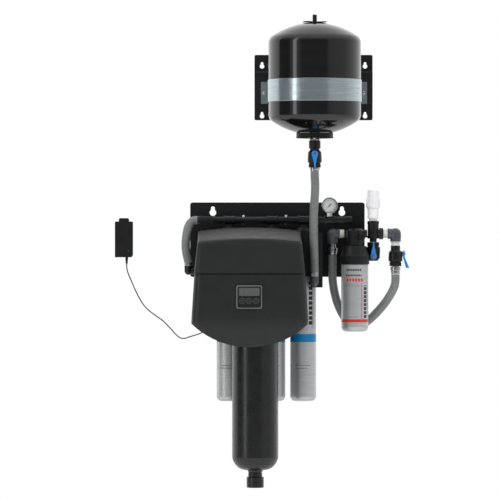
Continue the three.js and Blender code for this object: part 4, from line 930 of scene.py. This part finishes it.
def make_tee():
    shape = Shape().lathe((
        (0, -94.8), (10.8, -94.8), (10.8, -84.5), (16.6, -84.5), (17.9, -82.5), (17.9, -76), (17, -75),
        (17, -40), (17.9, -39), (17.9, -33), (16.6, -31), (0, -31),
    ), 0.5, INLET_AXIS, UP, 64)
    shape.lathe((
        (0, 290.3), (12, 290.3), (12, 308.2), (17.4, 308.2), (17.4, 320.2), (12.2, 320.2),
        (12.2, 334.2), (0, 334.2),
    ), 0.6, FITTING_AXIS, RIGHT, 96, ribs=(12, 1.1, 308, 320.5))
    shape.make("tee_body", black_plastic, replaced="inlet_tee")
    tapes = Shape()
    for base, axis, low, high, r in (
        (FITTING_AXIS, RIGHT, 188.4, 201.8, 12.9), (FITTING_AXIS, RIGHT, 320.6, 334.0, 12.9),
        (at(357.7, 60, 0), UP, -106, -93.9, 13.0), (INLET_AXIS, UP, -30.6, -24, 12.9),
    ):
        tapes.taped(r, low, high, 1.6, 0.6, base, axis)
    tapes.make("thread_tape", tape)


make_tee()
turned_piece("check_valve_body", (
    (8, -30.7), (12.2, -30.7), (12.2, -23.6), (17, -23.6), (17, 6), (19.5, 8), (21.4, 12), (21.4, 37),
    (19.5, 40), (18, 41.5), (18, 62), (13, 62), (13, 42), (8, 42), (8, -30.7),
), INLET_AXIS, milky, replaced="inlet_check_valve",
    ribs=(16, 1.2, 13, 36.5), segments=192)


# ---------- Ball valves ----------

LEVER_ROUND, LEVER_REACH = 10.2, 42.2


def make_valve(name, x, depth, reach, far_nut, outward, axis, blade):
    """A body turned round the pipe's axis, with its lever's stem pointing outward."""
    near, far, lever_z = reach
    place = at(x, depth, lever_z)
    nut = 12 - near
    profile = mm(
        (0, -near), (17.4, -near), (18.2, 1 - near), (18.2, nut - 1), (17.4, nut), (16.3, nut),
        (16.3, nut + 1.5), (20.2, nut + 2.5), (21.2, nut + 6), (21.2, nut + 15), (20, 6), (14.3, 12),
    )
    if far_nut:
        start = far - 24
        profile += mm(
            (14.3, start), (16.7, start), (17.5, start + 1.2), (17.5, far - 1), (16.7, far), (0, far))
    else:
        profile += mm((14.3, far), (0, far))
    shape = Shape().turned(soften(profile, 0.6 * MM), place, axis, 240,
                           ribs=(20, 1.4, 1 - near, nut - 1))
    shape.lathe(((0, 0), (8, 0), (8, 22.3), (0, 22.3)), 0.8, place, outward, 48)
    shape.make(name + "_valve_body", black_plastic, replaced=name + "_valve")
    hub = place + outward * (22.5 + 0.3) * MM
    up = -blade
    across = up.cross(outward)
    turn = Matrix((
        (across.x, up.x, outward.x, hub.x), (across.y, up.y, outward.y, hub.y),
        (across.z, up.z, outward.z, hub.z), (0, 0, 0, 1),
    ))
    rows = []
    for k in range(25):
        y = LEVER_ROUND - k / 24 * (LEVER_ROUND + LEVER_REACH)
        if y >= 0:
            half = math.sqrt(max(LEVER_ROUND ** 2 - y * y, 0.6))
        else:
            fall = -y / LEVER_REACH
            half = LEVER_ROUND * (1 - fall) ** 1.7 + 2.2 * fall ** 0.6
        swept = max(0.0, (-y - 10) / 32.2)
        low, high = 0.1 + 8.7 * swept, 5.8 + 13.4 * swept
        edge = min(1.4, half * 0.6)
        ring = [
            (-half, y, low + edge), (-half + edge, y, low), (half - edge, y, low), (half, y, low + edge),
            (half, y, high - edge), (half - edge, y, high), (0, y, high + 0.3), (-half + edge, y, high),
            (-half, y, high - edge),
        ]
        rows.append([turn @ (Vector(p) * MM) for p in ring])
    lever = name + "_lever"
    Shape().loft(rows).make(lever + "_blade", lever_blue, lever, replaced=lever)
    bolt = Shape()
    screw(bolt, hub + outward * 5.4 * MM, outward, 3.4 * MM, 2.6 * MM)
    bolt.make(lever + "_screw", copper, lever)


make_valve("tank", 111.3, 150, (40.4, 40.6, 169.9), True, FRONT, UP, DOWN)
make_valve("outlet", 357.7, 60, (36.9, 25, -131.1), False, RIGHT, UP, DOWN)
make_valve("blend", 290.3, 60, (42.9, 13.9, -138), False, FRONT, DOWN, UP)


# ---------- Barbs, clamps and hose elbows ----------


def make_barb(name, x, depth, top, nipple, collar_top, collar_bottom, end):
    base = at(x, depth, 0)
    pairs = (
        (0, end + 0.2), (14.2, end + 0.2), (14.2, end + 2.2), (13.7, end + 2.8), (13.7, end + 3.6),
        (14.2, end + 4.2), (14.2, collar_bottom), (15.8, collar_bottom), (15.8, collar_top),
        (nipple, collar_top), (nipple, top), (0, top),
    )
    turned_piece(name + "_fitting", pairs, base, steel, name, soft=0.7)


make_barb("loop_barb_left", 166.5, 60, -100.3, 11, -112, -124.5, -132.6)
make_barb("loop_barb_right", 357.7, 60, -168.3, 11, -169.8, -180.5, -194)
turned_piece("tank_barb_fitting", (
    (0, 117.9), (14.2, 117.9), (14.2, 123.6), (15.8, 124), (15.8, 128.4), (11, 129.2), (0, 129.2),
), TANK_AXIS, steel, replaced="tank_hose_barb", soft=0.7)


def make_clamp(name, x, depth, low, high, screw_side):
    """A worm-drive clamp: a slotted band with rolled edges, its housing and its screw."""
    shape = Shape().lathe((
        (13.1, low), (14.0, low), (14.0, low + 1), (13.7, low + 1.6), (13.7, high - 1.6),
        (14.0, high - 1), (14.0, high), (13.1, high), (13.1, low),
    ), 0.2, at(x, depth, 0), UP, 96)
    middle = (low + high) / 2
    lug = x + screw_side * 2
    shape.block(at(lug - 5, depth + 16.2, low + 1), at(lug + 5, depth + 13.4, high - 1), 0.7 * MM)
    screw(shape, at(x + screw_side * 7, depth + 15, middle), RIGHT * screw_side, 2.6 * MM, 3.4 * MM)
    shape.make(name, steel)


make_clamp("tank_hose_clamp", 111, 128, -198, -187, -1)
make_clamp("feed_hose_clamp", -269.5, 90, -165.2, -157, -1)


def make_hose_elbow(name, x, depth, top, elbow_z, radius, arm, arm_axis, arm_len, nut, look):
    shape = Shape()
    profile = mm((0, elbow_z), (radius, elbow_z), (radius, top - 0.3), (0, top - 0.3))
    shape.turned(soften(profile, 0.6 * MM), at(x, depth, 0), UP, 64)
    if nut:
        shape.lathe(((0, top - 9.3), (14, top - 9.3), (14, top - 0.3), (0, top - 0.3)), 0.8,
                     at(x, depth, 0), UP, 6)
    shape.ball(radius, at(x, depth, elbow_z), 20)
    shape.lathe(((0, 0), (arm, 0), (arm, arm_len), (0, arm_len)), 0.6, at(x, depth, elbow_z), arm_axis, 48)
    shape.make(name + "_body", look, replaced=name)


make_hose_elbow("tank_hose_elbow", 111, 128, -200, -216, 12.8, 10, -FRONT, 34, False, grey_plastic)
make_hose_elbow("feed_elbow", -269.5, 90, -166.3, -182, 12.5, 11, RIGHT, 55.5, True, black_plastic)
Shape().lathe((
    (0, 0), (5.5, 0), (5.5, 3), (5.0, 3.6), (5.0, 6), (5.5, 6.6), (5.5, 24), (0, 24),
), 0.5, at(-206, 94, -363), RIGHT, 64).block(at(-200, 101.6, -370), at(-186, 94, -356), 0.8 * MM).make(
    "jack_barrel", black_plastic, replaced="power_jack")


# ---------- Pressure tank ----------


def dished(apex, up, start, steps=16):
    """Half of a dished end's outline in millimetres, from the axis outwards."""
    crown, knuckle, radius = 226, 27, 139.7
    centre = radius - knuckle
    swing = math.asin(centre / (crown - knuckle))
    crown_z = apex - up * crown
    knuckle_z = crown_z + up * (crown - knuckle) * math.cos(swing)
    first = math.asin(start / crown)
    points = []
    for i in range(steps + 1):
        a = first + (swing - first) * i / steps
        points.append((crown * math.sin(a), crown_z + up * crown * math.cos(a)))
    for i in range(1, steps + 1):
        a = swing + (math.pi / 2 - swing) * i / steps
        points.append((centre + knuckle * math.sin(a), knuckle_z + up * knuckle * math.cos(a)))
    return points


def make_tank():
    base = TANK_AXIS
    bottom, top = dished(227.4, -1, 17.5), dished(566.2, 1, 4.4)[::-1]
    profile = mm((0, 214), (17.5, 214), (17.5, 224), *bottom, *top, (0, top[-1][1]))
    Shape().turned(profile, base, UP, 192).make(
        "tank_body", tank_paint, slot="tank_black", replaced="tank_shell")
    Shape().lathe(((0, 214.3), (19.5, 214.3), (19.5, 227), (0, 227)), 1.2, base, UP, 6).make(
        "tank_port_nut", steel)
    Shape().taped(14.6, 210.7, 214.1, 1.2, 0.5, base).make("tank_port_tape", tape)
    turned_piece("foot_ring", (
        (53.5, 217.8), (56.5, 217.8), (56.5, 219.6), (55.4, 221.4), (55.4, 233.3),
        (53.5, 233.3), (53.5, 217.8),
    ), base, black_steel, replaced="tank_foot_ring", soft=0.4, segments=128)
    turned_piece("air_valve_stem", (
        (0, 566.5), (8, 566.5), (8, 567.5), (4, 567.5),
        *((4 - 0.4 * (i % 2), 568.5 + i) for i in range(13)), (4, 582), (0, 582),
    ), base, steel, replaced="air_valve", soft=0.2)
    Shape().lathe((
        (4.3, 568.1), (6.5, 568.1), (6.5, 587.5), (5.5, 590), (0, 590), (0, 583.5),
        (4.3, 583.5), (4.3, 568.1),
    ), 0.5, base, UP, 192, ribs=(24, 0.4, 569, 587)).make(
        "air_cap", black_plastic, "air_valve_cap", replaced="air_valve_cap")


make_tank()


def make_tag():
    """A round paper tag slipped over the air valve, curled up a little at its rim."""
    rows = []
    for radius, height in ((9, 0.2), (9, 0.7), (22, 0.9), (36, 1.1), (36, 0.6), (22, 0.4), (9, 0.2)):
        ring = []
        for i in range(96):
            a = 2 * math.pi * i / 96
            curl = 1.8 * (radius / 36) ** 2 * (1 + math.sin(3 * a + 0.6)) / 2
            ring.append(at(111.3 + radius * math.cos(a), 150 + radius * math.sin(a), 566.4 + height + curl))
        rows.append(ring)
    shape = Shape()
    shape.skin(rows, closed=True)
    shape.make("valve_tag", tag_card, weld=True)


make_tag()


def make_strap():
    inner, outer, back, x, centre = 140.2, 141.7, 8.8, 111.3, 150

    def arc(radius, start, turn):
        angles = (start + turn * math.pi * i / 96 for i in range(97))
        return [(x + radius * math.cos(a), centre - radius * math.sin(a)) for a in angles]

    ring = [
        (x - outer - 20, back + 1.5), (x - outer, back + 1.5), *arc(outer, math.pi, 1),
        (x + outer, back + 1.5), (x + outer + 20, back + 1.5), (x + outer + 20, back), (x + inner, back),
        *arc(inner, 2 * math.pi, -1), (x - inner, back), (x - outer - 20, back),
    ]
    levels = [(326.5, 0.5), (327.2, 0), (329, 0), (391, 0), (392.8, 0), (393.5, 0.5)]
    middle = Vector((x, centre))
    rows = []
    for z, pinch in levels:
        row = []
        for across, depth in ring:
            toward = (middle - Vector((across, depth))).normalized() * pinch * (1 if depth > 14 else 0)
            row.append(at(across + toward.x, depth + toward.y, z))
        rows.append(row)
    Shape().loft(rows).make("strap_band", zinc, replaced="tank_strap")
    bolts = Shape()
    for x in (-40.4, 263):
        screw(bolts, at(x, 10.4, 360), FRONT, 5 * MM, 4.5 * MM, 6)
    bolts.make("strap_bolts", steel)


make_strap()


# ---------- Membrane group ----------

turned_piece("housing_shell", (
    (0, -786.8), (20, -786.8), (24, -779), (31.5, -779), (42, -776.6), (52, -771), (60.5, -762), (66.5, -751),
    (69.5, -741), (69.5, -240), (71, -237), (73, -236), (73, -216), (72, -214.3), (0, -214.3),
), HOUSING_AXIS, housing_black, replaced="membrane_housing", segments=160, soft=1.2)
turned_piece("foot_nut", (
    (0, -832), (24.5, -832), (26, -830), (26, -801), (24.5, -799), (21.3, -798.5), (21.3, -787.3),
    (0, -787.3),
), HOUSING_AXIS, housing_black, replaced="housing_cap", soft=0.8, segments=288,
    ribs=(24, 1.3, -829, -802))
Shape().lathe((
    (0, -213.8), (66, -213.8), (66, -150), (63, -140), (56, -128), (48, -120), (0, -120),
), 1.5, HOUSING_AXIS, UP, 192, ribs=(32, 1.5, -210, -154)).block(
    at(-108, 190, -200), at(-28, 105.3, -140), 2 * MM).make(
    "head_dome", black_plastic, replaced="membrane_head")


def make_pump():
    base = at(-194, 178, 0)
    shape = Shape().lathe((
        (0, -328), (34, -328), (37, -325), (37, -245), (36, -242), (31, -241), (31, -236), (36.4, -236),
        (36.4, -208), (27, -200), (0, -200),
    ), 1, base, UP, 128)
    shape.block(at(-216, 178, -308), at(-172, 105.3, -256), 1.5 * MM)
    for i in range(4):
        a = math.radians(45 + 90 * i)
        screw(shape, base + Vector((29 * math.cos(a), 29 * math.sin(a), -207)) * MM, UP, 2.6 * MM, 2.6 * MM)
    shape.make("pump_body", grey_plastic, replaced="booster_pump")


make_pump()


# ---------- Cowl ----------

COWL_X = -84.2
REAR_DEPTH = 109
CHIN_RADIUS, CHIN_BOTTOM, CHIN_REACH = 250, -409.5, 175
SEAM_BOTTOM, SEAM_TOP = -192, -188
TOP_HALF, TOP_FRONT, TOP_CORNER = 156, 262, 14
TOP_ROUND, TOP_CROWN = 8, 10
HOUSING_ROOM = 73.5
WALL = 3
FRONT_SHARES = [
    -1, -0.87, -0.74, -0.602, -0.5, -0.385, -0.25, -0.12, 0, 0.12, 0.25, 0.385, 0.5, 0.602, 0.74, 0.87, 1,
]
SIDE_STEPS, CORNER_STEPS = 12, 8
COWL_LEVELS = [  # z, half width, front depth, corner radius
    (-419.5, 175, 266, 26), (-335, 175, 280, 26), (SEAM_BOTTOM, 166, 280, 26), (-190.5, 164.8, 278.8, 24),
    (SEAM_TOP, 166, 285, 18), (-91, TOP_HALF, TOP_FRONT, TOP_CORNER), (0, TOP_HALF, TOP_FRONT, TOP_CORNER),
]


def level_at(z):
    """Half width, front depth and corner radius at a height."""
    for (z0, *low), (z1, *high) in zip(COWL_LEVELS, COWL_LEVELS[1:]):
        if z <= z1:
            s = max(0.0, (z - z0) / (z1 - z0))
            return [a + (b - a) * s for a, b in zip(low, high)]
    return COWL_LEVELS[-1][1:]


def section(half, front, corner, inset=0.0):
    """The cowl's outline seen from above, from rear left round to rear right."""
    half, front, corner = half - inset, front - inset, corner - inset
    left = [(-half, REAR_DEPTH + (front - corner - REAR_DEPTH) * i / SIDE_STEPS) for i in range(SIDE_STEPS)]
    bend = []
    for i in range(CORNER_STEPS + 1):
        a = math.pi / 2 * i / CORNER_STEPS
        bend.append((-half + corner - corner * math.cos(a), front - corner + corner * math.sin(a)))
    across = [(s * (half - corner), front) for s in FRONT_SHARES[1:-1]]
    right = [(-x, d) for x, d in [*left, *bend]][::-1]
    return [*left, *bend, *across, *right]


def roof(x, depth):
    return -81 + 0.221 * (250 - depth) - TOP_CROWN * (x / TOP_HALF) ** 2


def chin(x):
    return CHIN_BOTTOM + CHIN_RADIUS - math.sqrt(CHIN_RADIUS ** 2 - min(abs(x), CHIN_REACH) ** 2)


def side_row(heights):
    """Each column's point on the outline at its own height."""
    return [(*section(*level_at(z))[k], z) for k, z in enumerate(heights)]


def cowl_points(row):
    return [at(COWL_X + x, depth, z) for x, depth, z in row]


def make_cowl():
    """The cover: sides from chin to roof, a rounded rim, a crowned top and a floor that goes round
    the housing."""
    base, upper = section(*level_at(-335)), section(*level_at(-91))
    count, last = len(base), SIDE_STEPS + CORNER_STEPS
    rows = [side_row([chin(x) + (SEAM_BOTTOM - chin(x)) * (i / 10) for x, _ in base]) for i in range(11)]
    rows += [side_row([z] * count) for z in (-190.5, SEAM_TOP)]
    eaves = [roof(x, d) - TOP_ROUND for x, d in upper]
    rows += [side_row([SEAM_TOP + (z - SEAM_TOP) * (i / 8) for z in eaves]) for i in range(1, 9)]
    for i in range(1, 6):
        a = math.pi / 2 * i / 5
        outline = section(TOP_HALF, TOP_FRONT, TOP_CORNER, TOP_ROUND * (1 - math.cos(a)))
        rows.append([(x, d, z + TOP_ROUND * math.sin(a)) for (x, d), z in zip(outline, eaves)])
    shape = Shape()
    shape.skin([cowl_points(row) for row in rows])
    rim = rows[-1]
    top = []
    for (ax, depth, az), right in zip(rim[:last], rim[::-1]):
        between = []
        for s in FRONT_SHARES[1:-1]:
            x = ax + (right[0] - ax) * ((s + 1) / 2)
            between.append((x, depth, az + TOP_CROWN * ((ax / TOP_HALF) ** 2 - (x / TOP_HALF) ** 2)))
        top.append(cowl_points([(ax, depth, az), *between, right]))
    top.append(cowl_points(rim[last:count - last]))
    shape.skin(top)
    housing = HOUSING_AXIS.x / MM - COWL_X
    front = rows[0][last:count - last]
    for left, right in zip(front, front[1:]):
        clear = abs((left[0] + right[0]) / 2 - housing) >= HOUSING_ROOM
        grid = []
        for x, depth, z in (left, right):
            gap = max(HOUSING_ROOM ** 2 - (x - housing) ** 2, 0)
            back = REAR_DEPTH if clear else 190 + math.sqrt(gap)
            grid.append(cowl_points([(x, back + (depth - back) * i / 6, z) for i in range(7)]))
        shape.skin(grid)
    shell = shape.make("cowl_cover", cowl_plastic, "cowl", replaced="cowl", sharp=32, weld=True)
    wall = shell.modifiers.new("wall", "SOLIDIFY")
    wall.thickness = WALL * MM
    wall.offset = -1


make_cowl()


# ---------- Controller ----------


def rounded(left, right, bottom, top, corner, steps=6):
    outline = mm((left, bottom), (right, bottom), (right, top), (left, top))
    return soften(outline, corner * MM, steps, closed=True)


def raised_rim(name, look, rings):
    """A frame standing on the panel, through (outline, depth) pairs."""
    shape = Shape()
    shape.skin([[Vector((x, -depth * MM, z)) for x, z in ring] for ring, depth in rings], closed=True)
    shape.make(name, look, "cowl", weld=name == "panel_rim")


def make_bezel():
    centre, half = -85.9, 38.75
    outer = rounded(centre - half, centre + half, -294.4, -223.8, 7)
    inner = rounded(centre - half + 4, centre + half - 4, -290.4, -227.8, 5)
    crest = [(a[0] * 0.6 + b[0] * 0.4, a[1] * 0.6 + b[1] * 0.4) for a, b in zip(outer, inner)]
    Shape().prism(outer, wall_matrix(at(0, 280.4, 0)), 5.4 * MM, 1 * MM, 3).make(
        "control_panel", bezel_plastic, "cowl", "cowl_plastic", "display_bezel")
    raised_rim("panel_rim", rim_grey, (
        (outer, 285.9), (outer, 287.4), (crest, 288.3), (inner, 287.8), (inner, 285.9), (outer, 285.9)))
    outline = rounded(centre - 33.2, centre + 33.2, -258.4, -229, 2.5)
    opening = rounded(centre - 31.1, centre + 31.1, -256, -231.2, 2)
    raised_rim("window_frame", black_plastic, (
        (outline, 285.6), (outline, 287), (opening, 287), (opening, 285.4)))
    Shape().prism(opening, wall_matrix(at(0, 285.5, 0)), 0.6 * MM, 0.1 * MM).make(
        "window_glass", screen, "cowl", replaced="display_window")
    cap = soften(mm((0, 282.4), (8.0, 282.4), (8.0, 288.8), (7, 289.5), (5, 289.6), (0, 289.3)), 0.5 * MM, 4)
    ring = (8.4, 285.6), (9.4, 285.6), (9.4, 286.6), (8.4, 286.6), (8.4, 285.6)
    for side, x in (("left", -106.4), ("middle", centre), ("right", -65.4)):
        name, axis = "button_" + side, at(x, 0, -270.6)
        Shape().turned(cap, axis, FRONT, 64).make(name + "_cap", button_grey, name, replaced=name)
        Shape().lathe(ring, 0.2, axis, FRONT, 64).make(name + "_ring", rim_grey, "cowl")


make_bezel()


def make_board():
    keep("controller_board", green_board, 0)
    parts = Shape()
    for low, high in (((-120, 268, -240), (-96, 262, -226)), ((-70, 268, -262), (-54, 258, -238)),
                      ((-118, 268, -288), (-104, 260, -276)), ((-86, 268, -286), (-66, 264, -272))):
        parts.block(at(*low), at(*high), 0.6 * MM)
    for x in (-48, -92):
        parts.lathe(((0, 0), (4, 0), (4, 9), (0, 9)), 0.5, at(x, 268, -252), -FRONT, 32)
    parts.make("board_parts", ink, "cowl")


make_board()
